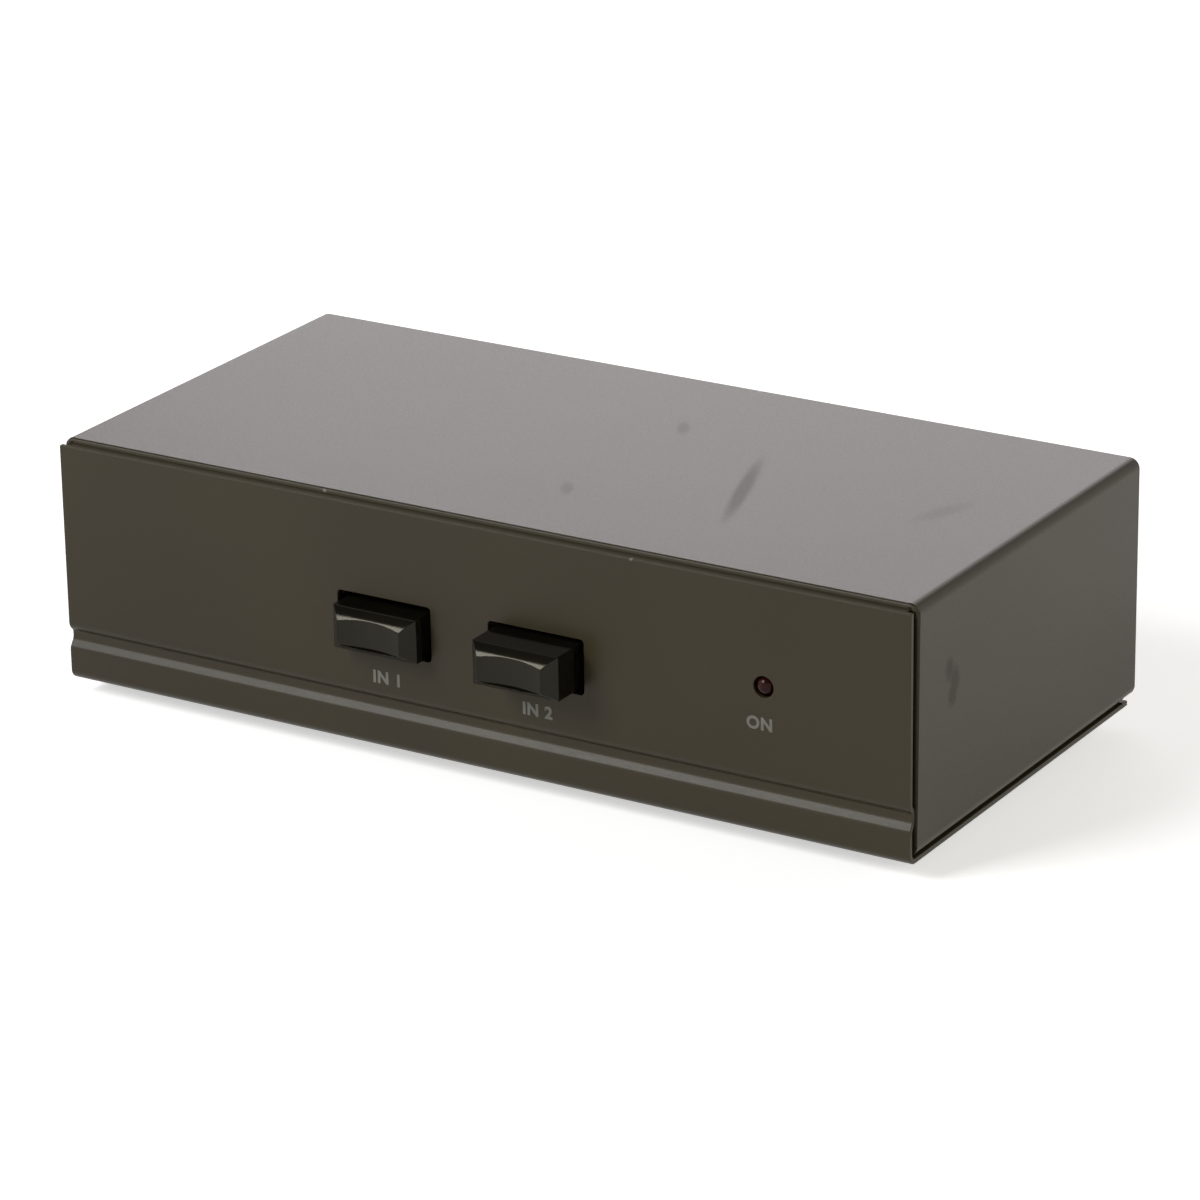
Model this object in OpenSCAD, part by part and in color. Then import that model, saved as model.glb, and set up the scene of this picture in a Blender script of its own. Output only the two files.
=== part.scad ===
// Two-input stereo preamplifier in a folded steel case.
// X runs to the right along the front panel, Y to the rear, and the feet stand on Z = 0.

/* [Case] */
// Width of the case
case_w = 145; // [144:0.5:150]
// Depth from the front panel's face to the cover's rear edge
case_d = 70.5; // [70.5:0.5:74]
// Height of the case without its feet
case_h = 38.5; // [38:0.5:42]
// Thickness of the steel sheet
sheet_t = 0.8; // [0.7:0.1:0.9]
// Outer radius of the rear panel's bends
panel_bend_r = 1; // [1:0.1:1.5]
// Outer radius of the sharp fold along the front panel's top
lip_bend_r = 0.4; // [0.3:0.1:0.6]
// Outer radius of the bend along the front panel's foot
foot_bend_r = 1.6; // [1.2:0.1:1.8]
// Outer radius of the cover's upper bends
cover_bend_r = 1.3; // [1.2:0.1:2]
// Outer radius of the cover's lower bends
skirt_bend_r = 1.8; // [1.4:0.1:2]
// Width of the cover's lower flanges
skirt_flange_w = 9; // [8:0.5:10]
// Length of the chassis flanges that lie under the cover
chassis_flange = 9.5; // [6:0.5:10]
// Distance from the panel's face back to the cover's front edge
cover_setback = 1.7; // [1.6:0.1:2.4]
// Distance from the cover's sides in to the side edges of the panel and floor
panel_inset = 0.3; // [0.1:0.1:0.5]
// Distance from the cover's rear edge in to the rear panel
rear_inset = 2.5; // [2:0.5:3]
// Radius of the cover's lower rear corners
cover_corner_r = 1.8; // [1:0.1:2]

/* [Front groove] */
// Height of the groove's lower edge above the case's underside
groove_low = 5.2; // [4:0.1:6]
// Height that the groove's lower slope takes
groove_low_slope = 1.4; // [0.8:0.1:1.6]
// Height of the groove's upper edge above the case's underside
groove_high = 8.5; // [8.2:0.1:10]
// Height that the groove's upper slope takes
groove_high_slope = 0.7; // [0.6:0.1:1]
// Depth of the groove
groove_depth = 0.9; // [0.5:0.1:0.9]

/* [Feet] */
// Height of a foot
foot_h = 2.5; // [2.5:0.5:4]
// Radius of a foot against the case
foot_r = 5; // [4:0.5:6]
// Distance of a foot's centre from the front and side edges of the floor
foot_inset = 13; // [11:0.5:15]
// Distance of a rear foot's centre from the rear panel
rear_foot_inset = 11.8; // [10:0.1:14]

/* [Buttons] */
// Width of a button cap
button_w = 14.5; // [13:0.5:15]
// Height of a button cap
button_h = 6.8; // [6.5:0.1:7.2]
// Width of a cap's flat front face
button_face_w = 10.8; // [9:0.1:12]
// Height of a cap's flat front face
button_face_h = 3.6; // [3:0.1:4.5]
// Depth of the sloped rim round the front face, whose upper side is crowned
button_slope = 1.9; // [1:0.1:2.5]
// Depth of the hollow in the front face
button_dish = 0.5; // [0.3:0.1:0.8]
// Length of a cap from its face to its rear end
button_len = 13; // [12.5:0.5:13]
// How far the cap that is out stands off the panel
button_proud = 7.4; // [7:0.1:8]
// Travel of a button between out and latched in
press_travel = 3; // [2:0.5:3]
// How far the latched cap hangs below the middle of its cut-out
latched_sag = 0.4; // [0:0.1:0.4]
// Place of the left button from the middle of the panel
aux_x = -14.6; // [-15:0.1:-14]
// Place of the right button from the middle of the panel
phono_x = 11.4; // [11:0.1:12]
// Height of the buttons above the case's underside
button_rise = 19.6; // [19.2:0.1:20]
// Width of a button's cut-out
cutout_w = 16.1; // [15.6:0.1:17]
// Height of a button's cut-out
cutout_h = 8.5; // [8.4:0.1:9]

/* [Lamp] */
// Radius of the lamp's lens
lamp_r = 1.5; // [1.4:0.1:1.5]
// Length of the lamp's lens
lamp_len = 5.3; // [5:0.1:5.5]
// How far the lens stands off the panel
lamp_proud = 0.3; // [0:0.1:1]
// Place of the lamp from the middle of the panel
lamp_x = 48.9; // [48:0.1:50]
// Height of the lamp above the case's underside
lamp_rise = 22.5; // [22:0.1:24]

/* [Rear sockets] */
// Outer radius of a socket sleeve
sleeve_r = 4.15; // [4.1:0.05:4.2]
// How far a sleeve stands off the rear panel
sleeve_proud = 9.9; // [9:0.1:10.5]
// Distance between the two sockets of a block
jack_pitch = 15; // [14.5:0.5:15]
// Distance between two blocks
block_pitch = 33; // [32:0.5:34]
// Distance of the ground and power terminals from the middle
terminal_x = 58.5; // [58:0.5:60]

/* [Circuit board] */
// Width of the board
board_w = 136; // [130:1:138]
// Thickness of the board
board_t = 1.6; // [1.2:0.2:1.6]
// Height of the board's spacers
spacer_h = 10.2; // [9.8:0.1:10.2]

/* [Hidden] */
$fn = 48;
hair = 0.01;
through = 4;

// Main planes of the case
floor_z = foot_h;
floor_top = floor_z + sheet_t;
top_z = floor_z + case_h;
lip_z = top_z - sheet_t;
front_y = -case_d / 2;
back_y = case_d / 2;
panel_back = front_y + sheet_t;
rear_y = back_y - rear_inset;
rear_in = rear_y - sheet_t;
cover_front = front_y + cover_setback;
half_w = case_w / 2;
side_gap = 0.3;
flange_end_gap = 1;
inner_w = case_w - 2 * sheet_t - 2 * side_gap;
chassis_w = case_w - 2 * panel_inset;
relief_x = half_w - skirt_bend_r - side_gap;
corner_slit = 0.3;
corner_over = 0.6;
notch_gap = 0.3;
notch_h = 0.8;

// Feet and the screws of the cover
foot_taper = 0.4;
foot_x = half_w - foot_inset;
foot_y = [front_y + foot_inset, rear_y - rear_foot_inset];
screw_r = 1.45;
screw_head_r = 2.75;
screw_head_h = 1.7;
screw_edge = 0.5;
recess_len = 3;
recess_w = 0.7;
recess_deep = 0.9;
cover_screw_inset = 6.3;
cover_screw_x = half_w - cover_screw_inset;
cover_screw_y = [-11, 12];
cover_screw_len = 5;

// Circuit board
board_z = floor_top + spacer_h;
board_top = board_z + board_t;
board_front_gap = 4.8;
board_rear_gap = 0.6;
board_y = [front_y + board_front_gap, rear_in - board_rear_gap];
spacer_r = 3;
spigot_r = 2.1;
spacer_x = 48;
spacer_y = [-18, 12];
board_screw_len = 5.6;
pin_below = 1.2;
pin_slack = 0.2;
pin_low = board_z - pin_below;

// Push switch
button_z = floor_z + button_rise;
stations = [aux_x, phono_x];
cutout_corner = 0.6;
face_drop = 0.15;
face_top = button_face_h / 2 - face_drop;
face_bottom = -button_face_h / 2 - face_drop;
crown_turn = 26;
crown_steps = 4;
cap_wall = 1.2;
cap_post_w = 5.6;
cap_front = 4.5;
tip_w = 3.2;
tip_len = 7.5;
tip_end_gap = 0.5;
bar_w = 4;
collar_w = 7.2;
collar_t = 1.2;
bar_len = 18.4;
slide_gap = 0.3;
hook_h = 0.8;
hook_len = 2.5;
out_face = front_y - button_proud;
return_len = 7.25;
bracket_y = out_face + button_len + collar_t + return_len;
bracket_t = 1;
bracket_over = [10.4, 10.6];
bracket_x = [aux_x - bracket_over[0], phono_x + bracket_over[1]];
ear_len = 7;
ear_h = 8.2;
tab_w = 2.4;
latch_t = 0.8;
latch_h = 8;
latch_gap = 1.1;
latch_y = bracket_y + bracket_t + latch_gap;
latch_travel = 1;
latch_over = [7.9, 6.2];
latch_x = [aux_x - latch_over[0], phono_x + latch_over[1]];
tongue_h = 1;
tongue_out = 0.6;
tongue_hole_r = 1;
body_y = latch_y + latch_t + slide_gap;
body_len = 16;
body_w = 12;
body_h = 13.6;
body_wall = 2;
terminal_r = 0.4;
terminal_in = 1.5;
terminal_dx = 4;
terminal_dy = [3.5, 8, 12.5];

// Springs
coil_sides = 6;
coil_rings = 8;
return_r = 3.25;
return_wire_r = 0.25;
return_turns = 5;
latch_spring_r = 1.1;
latch_wire_r = 0.15;
latch_turns = 4;

// Lamp
lamp_z = floor_z + lamp_rise;
lamp_slack = 0.1;
lamp_hole_r = lamp_r + lamp_slack;
lamp_rim = 0.4;
lamp_rim_r = lamp_r + lamp_rim;
lamp_rim_t = 1;
lamp_base_y = front_y - lamp_proud + lamp_len;
lead_r = 0.25;
lead_dx = 1.27;
lead_back = 2.6;
holder_w = 5;
holder_d = 4.8;
holder_over = 2.3;

// Rear sockets
jack_rise = 7;
jack_z = board_top + jack_rise;
blocks = [-block_pitch, 0, block_pitch];
jack_sides = [-jack_pitch / 2, jack_pitch / 2];
block_side = 6.5;
block_w = jack_pitch + 2 * block_side;
block_d = 11;
block_h = 12.5;
collar_wall = 0.4;
collar_r = sleeve_r + collar_wall;
collar_proud = 0.2;
collar_slack = 0.15;
sleeve_wall = 0.5;
sleeve_seat = 3;
sleeve_step = 0.25;
sleeve_edge = 0.3;
insert_recess = 0.5;
insert_bore_r = 1.65;
contact_r = 2.1;
contact_wall = 0.5;
contact_len = 6;
tail_r = 0.5;
tail_back = 1.2;
jack_screw_head_r = 2.4;
jack_screw_len = 7;

// Ground terminal
stud_r = 2;
stud_proud = 9.4;
stud_end = rear_y + stud_proud;
stud_head_t = 2.8;
hex_r = 4.04;
lock_nut_t = 2.2;
washer_r = 4.6;
washer_t = 0.8;
washer_hole_r = 2.15;
thumb_r = 4.75;
thumb_neck_r = 3.3;
thumb_neck_t = 1;
thumb_t = 4;
thumb_bore_r = 2.05;
knurl_count = 24;
knurl_r = 0.35;
knurl_out = 0.1;

// Power inlet
inlet_w = 9;
inlet_d = 13.5;
inlet_h = 11.5;
inlet_nose_r = 4;
inlet_nose_hole_r = 4.2;
inlet_proud = 0.4;
inlet_bore_r = 3;
inlet_depth = 9.5;
inlet_pin_r = 1;
inlet_pin_recess = 0.8;
leaf_w = 2;
leaf_t = 0.4;
leaf_back = 4.65;
leaf_reach = 3.2;
leaf_rise = 0.4;

// Parts on the board
chip_size = [9.4, 6.4, 3.3];
chip_gap = 0.5;
chip_legs = 4;
chip_leg_w = 0.5;
chip_leg_t = 0.3;
chip_leg_pitch = 2.54;
chip_leg_out = 0.7;
phono_chip_at = [-33, 8];
line_chip_at = [10, 9];
regulator_at = [40, -6];
regulator_r = 2.4;
regulator_h = 4.8;
regulator_leg = 2.5;
regulator_flat = 1.4;
supply_at = [[58, 4.5], [58, -8.5]];
supply_r = 5;
supply_h = 13;
signal_r = 2.5;
signal_h = 11;
signal_y = 15.2;
can_groove = 0.35;
can_groove_at = 2;
film_size = [7.2, 3, 7];
film_x = [-61, -51];
film_y = [-2, -9];
resistor_r = 1;
resistor_len = 6.3;
resistor_bulge = 0.15;
resistor_bulge_len = 1.4;
resistor_lead_r = 0.3;
resistor_span = 10;
resistor_rows = [[-44, -12, 3.2, 5], [28, -17, 3.2, 5], [-22, 5, 4, 6]];
diode_at = [40, 6];
diode_r = 1.35;
diode_len = 5.2;

// An outline in Y and Z, drawn out to a width along X about the middle
module along_x(width) {
    translate([-width / 2, 0, 0])
        rotate([90, 0, 90])
            linear_extrude(width)
                children();
}

// An outline in X and Z, drawn out along Y from y0 to y1
module along_y(y0, y1) {
    translate([0, y1, 0])
        rotate([90, 0, 0])
            linear_extrude(y1 - y0)
                children();
}

// A round rod or hole along Y
module rod_y(r, y0, y1) {
    translate([0, y0, 0])
        rotate([-90, 0, 0])
            cylinder(r = r, h = y1 - y0);
}

// A box given by its two corners
module box(low, high) {
    translate(low)
        cube(high - low);
}

// One quarter of a bend in the sheet, in the first quadrant
module bend(r) {
    intersection() {
        difference() {
            circle(r);
            circle(r - sheet_t);
        }
        square(r);
    }
}

// A rectangle with round corners, about the origin
module rounded_slot(w, h, r) {
    square([w - 2 * r, h], center = true);
    square([w, h - 2 * r], center = true);
    for (x = [-1, 1], z = [-1, 1])
        translate([x * (w / 2 - r), z * (h / 2 - r)])
            circle(r);
}

// A pan-head screw with a crossed recess: the head lies under the origin, the shank above it
module pan_screw(head_r, shank_len) {
    difference() {
        rotate_extrude()
            polygon([
                [0, -screw_head_h],
                [head_r - screw_edge, -screw_head_h],
                [head_r, screw_edge - screw_head_h],
                [head_r, 0],
                [0, 0]
            ]);
        for (turn = [0, 90])
            rotate(turn)
                translate([-recess_len / 2, -recess_w / 2, -screw_head_h - hair])
                    cube([recess_len, recess_w, recess_deep]);
    }
    cylinder(r = screw_r, h = shank_len);
}

// A coil of round wire along Z, ground flat on neither end
module coil(r, wire_r, length, turns) {
    steps = turns * coil_rings;
    points = [
        for (i = [0 : steps], k = [0 : coil_sides - 1])
            let (
                a = 360 * i / coil_rings,
                b = 360 * k / coil_sides,
                out = r + wire_r * cos(b),
                up = wire_r + (length - 2 * wire_r) * i / steps
            )
            [out * cos(a), out * sin(a), up + wire_r * sin(b)]
    ];
    sides = [
        for (i = [0 : steps - 1], k = [0 : coil_sides - 1], half = [0, 1])
            let (
                a = i * coil_sides + k,
                b = i * coil_sides + (k + 1) % coil_sides
            )
            half == 0 ? [a, a + coil_sides, b] : [b, a + coil_sides, b + coil_sides]
    ];
    first = [for (k = [1 : coil_sides - 2]) [0, k, k + 1]];
    end = steps * coil_sides;
    last = [for (k = [1 : coil_sides - 2]) [end, end + k + 1, end + k]];
    echo(gap_between_turns = (length - 2 * wire_r) / turns - 2 * wire_r);
    polyhedron(points, concat(sides, first, last));
}

// The front part of the chassis: panel with its groove, the fold above and the bend below it, and the floor
module front_outline() {
    low = floor_z + groove_low;
    high = floor_z + groove_high;
    polygon([
        [front_y, floor_z + foot_bend_r],
        [front_y, low],
        [front_y + groove_depth, low + groove_low_slope],
        [front_y + groove_depth, high - groove_high_slope],
        [front_y, high],
        [front_y, lip_z - lip_bend_r],
        [panel_back, lip_z - lip_bend_r],
        [panel_back, high],
        [panel_back + groove_depth, high - groove_high_slope],
        [panel_back + groove_depth, low + groove_low_slope],
        [panel_back, low],
        [panel_back, floor_z + foot_bend_r]
    ]);
    translate([front_y + lip_bend_r, lip_z - lip_bend_r]) {
        square([sheet_t - lip_bend_r, lip_bend_r]);
        intersection() {
            circle(lip_bend_r);
            translate([-lip_bend_r, 0])
                square(lip_bend_r);
        }
    }
    translate([front_y + foot_bend_r, floor_z + foot_bend_r])
        rotate(180)
            bend(foot_bend_r);
    translate([front_y + foot_bend_r, floor_z])
        square([rear_y - front_y - foot_bend_r - panel_bend_r, sheet_t]);
}

// The rear panel with its bends, and the flange that is bent forward from it
module rear_outline() {
    translate([rear_y - panel_bend_r, floor_z + panel_bend_r])
        rotate(-90)
            bend(panel_bend_r);
    translate([rear_in, floor_z + panel_bend_r])
        square([sheet_t, lip_z - floor_z - 2 * panel_bend_r]);
    translate([rear_y - panel_bend_r, lip_z - panel_bend_r])
        bend(panel_bend_r);
    translate([rear_y - chassis_flange, lip_z - sheet_t])
        square([chassis_flange - panel_bend_r, sheet_t]);
}

// The flange that is bent back from the front panel
module front_flange_outline() {
    translate([panel_back, lip_z - sheet_t])
        square([chassis_flange - sheet_t, sheet_t]);
}

// Everything that is punched out of the chassis
module chassis_holes() {
    for (x = stations)
        translate([x, 0, button_z])
            along_y(front_y - through, panel_back + through)
                rounded_slot(cutout_w, cutout_h, cutout_corner);
    translate([lamp_x, 0, lamp_z])
        rod_y(lamp_hole_r, front_y - through, panel_back + through);
    for (x = blocks) {
        translate([x, 0, jack_z])
            rod_y(screw_r, rear_in - through, rear_y + through);
        for (dx = jack_sides)
            translate([x + dx, 0, jack_z])
                rod_y(collar_r + collar_slack, rear_in - through, rear_y + through);
    }
    translate([-terminal_x, 0, jack_z])
        rod_y(stud_r, rear_in - through, rear_y + through);
    translate([terminal_x, 0, jack_z])
        rod_y(inlet_nose_hole_r, rear_in - through, rear_y + through);
    for (side = [-1, 1]) {
        for (y = cover_screw_y)
            translate([side * cover_screw_x, y, floor_z - hair])
                cylinder(r = screw_r, h = through);
        for (y = spacer_y)
            translate([side * spacer_x, y, floor_z - hair])
                cylinder(r = spigot_r, h = through);
    }
}

// Room at the rear panel's lower corners for the cover's lower bends
module corner_reliefs() {
    for (side = [0, 1])
        mirror([side, 0, 0])
            box(
                [relief_x, rear_y - panel_bend_r, floor_z - hair],
                [half_w, rear_y + hair, floor_top + skirt_bend_r + side_gap]
            );
}

// The floor's rear corners, which stay flat beside the bend
module floor_corners() {
    for (side = [0, 1])
        mirror([side, 0, 0])
            box(
                [relief_x + corner_slit, rear_y - 2 * panel_bend_r, floor_z],
                [chassis_w / 2, rear_y + corner_over, floor_top]
            );
}

module chassis() {
    color("#423e36") {
        difference() {
            union() {
                along_x(chassis_w)
                    front_outline();
                along_x(inner_w - 2 * side_gap)
                    front_flange_outline();
                along_x(inner_w)
                    rear_outline();
            }
            chassis_holes();
            corner_reliefs();
        }
        floor_corners();
    }
}

// One side of the cover with its two bends
module cover_side_outline() {
    translate([half_w - cover_bend_r, top_z - cover_bend_r])
        bend(cover_bend_r);
    translate([half_w - sheet_t, floor_top + skirt_bend_r])
        square([sheet_t, top_z - cover_bend_r - floor_top - skirt_bend_r]);
    translate([half_w - skirt_bend_r, floor_top + skirt_bend_r])
        rotate(-90)
            bend(skirt_bend_r);
}

module cover_flange() {
    difference() {
        box(
            [half_w - skirt_flange_w, cover_front + flange_end_gap, floor_top],
            [half_w - skirt_bend_r, rear_in - flange_end_gap, floor_top + sheet_t]
        );
        for (y = cover_screw_y)
            translate([cover_screw_x, y, floor_top - hair])
                cylinder(r = screw_r, h = through);
    }
}

module cover() {
    color("#5a5650")
        difference() {
            union() {
                along_y(cover_front, back_y) {
                    translate([cover_bend_r - half_w, lip_z])
                        square([case_w - 2 * cover_bend_r, sheet_t]);
                    for (side = [0, 1])
                        mirror([side, 0])
                            cover_side_outline();
                }
                for (side = [0, 1])
                    mirror([side, 0, 0])
                        cover_flange();
            }
            along_x(case_w + 2 * hair)
                translate([back_y - cover_corner_r, floor_top + cover_corner_r])
                    difference() {
                        translate([0, -cover_corner_r - hair])
                            square(cover_corner_r + hair);
                        circle(cover_corner_r);
                    }
            box(
                [-half_w - hair, rear_in + notch_gap, floor_top - hair],
                [half_w + hair, back_y + hair, floor_top + notch_h]
            );
        }
}

module cover_screws() {
    color("#2c2b2a")
        for (side = [-1, 1], y = cover_screw_y)
            translate([side * cover_screw_x, y, floor_z])
                pan_screw(screw_head_r, cover_screw_len);
}

module foot(side, y) {
    color("#161616")
        translate([side * foot_x, y, 0])
            cylinder(r1 = foot_r - foot_taper, r2 = foot_r, h = foot_h);
}

// An arc in Y and Z from one point up and back to another, steeper at its start
function crown(start, end) =
    let (
        chord = end - start,
        r = norm(chord) / (2 * sin(crown_turn / 2)),
        steep = atan2(chord[1], chord[0]) + crown_turn / 2,
        middle = start + r * [sin(steep), -cos(steep)]
    )
    [
        start,
        for (i = [1 : crown_steps - 1])
            let (turn = steep - crown_turn * i / crown_steps)
            middle + r * [-sin(turn), cos(turn)],
        end
    ];

// Plan and side outlines of a cap, whose common volume has the four sloped sides
module cap_form(face_y) {
    rear = face_y + button_len;
    rim = face_y + button_slope;
    intersection() {
        translate([0, 0, -button_h])
            linear_extrude(2 * button_h)
                polygon([
                    [-button_face_w / 2, face_y],
                    [button_face_w / 2, face_y],
                    [button_w / 2, rim],
                    [button_w / 2, rear],
                    [-button_w / 2, rear],
                    [-button_w / 2, rim]
                ]);
        along_x(2 * button_w)
            polygon(concat(
                crown([face_y, face_top], [rim, button_h / 2]),
                [
                    [rear, button_h / 2],
                    [rear, -button_h / 2],
                    [rim, -button_h / 2],
                    [face_y, face_bottom]
                ]
            ));
    }
}

// A cap: sloped rim, hollowed face, two pockets behind and a square socket for the plunger
module button_cap(face_y, sag) {
    rear = face_y + button_len;
    dish_r = button_face_w * button_face_w / (8 * button_dish) + button_dish / 2;
    pocket_h = button_h - 2 * cap_wall;
    color("#0d0d0c")
        difference() {
            translate([0, 0, -sag])
                cap_form(face_y);
            translate([0, face_y + button_dish - dish_r, -button_h])
                cylinder(r = dish_r, h = 2 * button_h);
            for (side = [0, 1])
                mirror([side, 0, 0])
                    box(
                        [cap_post_w / 2, face_y + cap_front, -sag - pocket_h / 2],
                        [button_w / 2 - cap_wall, rear + hair, pocket_h / 2 - sag]
                    );
            box(
                [-tip_w / 2, rear - tip_len - tip_end_gap, -tip_w / 2],
                [tip_w / 2, rear + hair, tip_w / 2]
            );
        }
}

module aux_button() {
    translate([aux_x, press_travel, button_z])
        button_cap(out_face, latched_sag);
}

module phono_button() {
    translate([phono_x, 0, button_z])
        button_cap(out_face, 0);
}

// A plunger: square tip for the cap, collar for the spring, bar with a sloped latch hook
module plunger() {
    rear = out_face + button_len;
    collar_end = rear + collar_t;
    hook_y = body_y - press_travel;
    color("#d8d4c8") {
        box([-tip_w / 2, rear - tip_len, -tip_w / 2], [tip_w / 2, rear, tip_w / 2]);
        box([-collar_w / 2, rear, -collar_w / 2], [collar_w / 2, collar_end, collar_w / 2]);
        box([-bar_w / 2, collar_end, -bar_w / 2], [bar_w / 2, collar_end + bar_len, bar_w / 2]);
        translate([0, 0, -bar_w / 2])
            linear_extrude(bar_w)
                polygon([
                    [bar_w / 2, hook_y],
                    [bar_w / 2 + hook_h, hook_y],
                    [bar_w / 2, hook_y + hook_len]
                ]);
    }
}

module aux_plunger() {
    translate([aux_x, press_travel, button_z])
        plunger();
}

module phono_plunger() {
    translate([phono_x, 0, button_z])
        plunger();
}

// A return spring between a plunger's collar and the bracket
module return_spring(x, pressed) {
    start = out_face + button_len + collar_t + pressed;
    color("#b9bcc0")
        translate([x, start + hair / 2, button_z])
            rotate([-90, 0, 0])
                coil(return_r, return_wire_r, bracket_y - start - hair, return_turns);
}

// The way that a plunger and its hook take through a fixed piece
module plunger_way(y0, y1) {
    low = -bar_w / 2 - slide_gap;
    box([low, y0, low], [bar_w / 2 + hook_h + slide_gap, y1, -low]);
}

module selector_bracket() {
    back = bracket_y + bracket_t;
    lid_z = board_top + body_h;
    color("#c3c6c8")
        difference() {
            union() {
                box(
                    [bracket_x[0], bracket_y, board_top],
                    [bracket_x[1], back, lid_z + bracket_t]
                );
                box(
                    [bracket_x[0], back, lid_z],
                    [bracket_x[1], back + ear_len, lid_z + bracket_t]
                );
                for (x = [bracket_x[0], bracket_x[1] - bracket_t])
                    box(
                        [x, back, button_z - ear_h / 2],
                        [x + bracket_t, back + ear_len, lid_z]
                    );
                for (x = [bracket_x[0], bracket_x[1] - tab_w])
                    box([x, bracket_y, pin_low], [x + tab_w, back, board_top]);
            }
            for (x = stations)
                translate([x, 0, button_z])
                    plunger_way(bracket_y - hair, back + hair);
            translate([0, latch_y + latch_t / 2, button_z])
                rotate([0, 90, 0])
                    cylinder(r = tongue_hole_r, h = case_w, center = true);
        }
}

module latch_plate() {
    color("#aeb2b5")
        difference() {
            union() {
                box(
                    [latch_x[0], latch_y, button_z - latch_h / 2],
                    [latch_x[1], latch_y + latch_t, button_z + latch_h / 2]
                );
                box(
                    [bracket_x[0] - tongue_out, latch_y, button_z - tongue_h / 2],
                    [bracket_x[1] + tongue_out - latch_travel, latch_y + latch_t, button_z + tongue_h / 2]
                );
            }
            for (x = stations)
                translate([x, 0, button_z]) {
                    plunger_way(latch_y - hair, latch_y + latch_t + hair);
                    translate([-latch_travel, 0, 0])
                        plunger_way(latch_y - hair, latch_y + latch_t + hair);
                }
        }
}

module latch_spring() {
    ear = bracket_x[1] - bracket_t;
    color("#b9bcc0")
        translate([latch_x[1] + hair / 2, latch_y + latch_t / 2, button_z])
            rotate([0, 90, 0])
                coil(latch_spring_r, latch_wire_r, ear - latch_x[1] - hair, latch_turns);
}

// Places of one station's six terminals, from its middle
function terminal_places(x) = [
    for (dx = [-terminal_dx, terminal_dx], dy = terminal_dy) [x + dx, body_y + dy]
];

module switch_body(x) {
    color("#2a2d31")
        difference() {
            box(
                [x - body_w / 2, body_y, board_top],
                [x + body_w / 2, body_y + body_len, board_top + body_h]
            );
            translate([x, 0, button_z])
                plunger_way(body_y - hair, body_y + body_len - body_wall);
            for (place = terminal_places(x))
                translate([place[0], place[1], board_top - hair])
                    cylinder(r = terminal_r, h = terminal_in + hair);
        }
}

module switch_terminals() {
    color("#c9c6b8")
        for (x = stations, place = terminal_places(x))
            translate([place[0], place[1], pin_low])
                cylinder(r = terminal_r, h = board_top + terminal_in - pin_low);
}

module power_lamp() {
    color("#4a0f0c")
        translate([lamp_x, 0, lamp_z]) {
            translate([0, front_y - lamp_proud + lamp_r, 0])
                sphere(lamp_r);
            rod_y(lamp_r, front_y - lamp_proud + lamp_r, lamp_base_y);
            rod_y(lamp_rim_r, lamp_base_y - lamp_rim_t, lamp_base_y);
        }
}

// A lead that runs back from y0 and turns down at y1, to the height of low
module bent_lead(r, y0, y1, low) {
    rod_y(r, y0, y1);
    translate([0, y1, 0])
        sphere(r);
    translate([0, y1, low])
        cylinder(r = r, h = -low);
}

module lamp_leads() {
    color("#c9c6b8")
        for (dx = [-lead_dx, lead_dx])
            translate([lamp_x + dx, 0, lamp_z])
                bent_lead(lead_r, lamp_base_y, lamp_base_y + lead_back, pin_low - lamp_z);
}

module lamp_holder() {
    color("#1c1c1c")
        difference() {
            box(
                [lamp_x - holder_w / 2, lamp_base_y, board_top],
                [lamp_x + holder_w / 2, lamp_base_y + holder_d, lamp_z + holder_over]
            );
            for (dx = [-lead_dx, lead_dx])
                translate([lamp_x + dx, 0, lamp_z])
                    bent_lead(lead_r, lamp_base_y - hair, lamp_base_y + lead_back, -case_h);
        }
}

// Holes in the board for every pin that goes through it
module board_holes() {
    for (x = stations, place = terminal_places(x))
        translate(place)
            circle(terminal_r + pin_slack);
    for (dx = [-lead_dx, lead_dx])
        translate([lamp_x + dx, lamp_base_y + lead_back])
            circle(lead_r + pin_slack);
    for (x = blocks, dx = jack_sides, y = [tail_y(), sleeve_pin_y()])
        translate([x + dx, y])
            circle(tail_r + pin_slack);
    translate([terminal_x, rear_in - inlet_d - tail_back])
        circle(tail_r + pin_slack);
    translate([terminal_x, rear_in - leaf_back + leaf_t / 2])
        square([leaf_w + 2 * pin_slack, leaf_t + 2 * pin_slack], center = true);
    for (x = [bracket_x[0], bracket_x[1] - tab_w])
        translate([x - pin_slack, bracket_y - pin_slack])
            square([tab_w + 2 * pin_slack, bracket_t + 2 * pin_slack]);
    for (side = [-1, 1], y = spacer_y)
        translate([side * spacer_x, y])
            circle(screw_r + pin_slack);
}

module circuit_board() {
    color("#8a6a3c")
        translate([0, 0, board_z])
            linear_extrude(board_t)
                difference() {
                    translate([-board_w / 2, board_y[0]])
                        square([board_w, board_y[1] - board_y[0]]);
                    board_holes();
                }
}

module board_spacers() {
    color("#b8964a")
        for (side = [-1, 1], y = spacer_y)
            translate([side * spacer_x, y, floor_z])
                difference() {
                    union() {
                        cylinder(r = spigot_r, h = sheet_t);
                        translate([0, 0, sheet_t])
                            cylinder(r = spacer_r, h = spacer_h);
                    }
                    translate([0, 0, sheet_t + spacer_h + board_t - board_screw_len])
                        cylinder(r = screw_r, h = board_screw_len);
                }
}

module board_screws() {
    color("#c3c6c8")
        for (side = [-1, 1], y = spacer_y)
            translate([side * spacer_x, y, board_top])
                rotate([180, 0, 0])
                    pan_screw(screw_head_r, board_screw_len);
}

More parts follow.
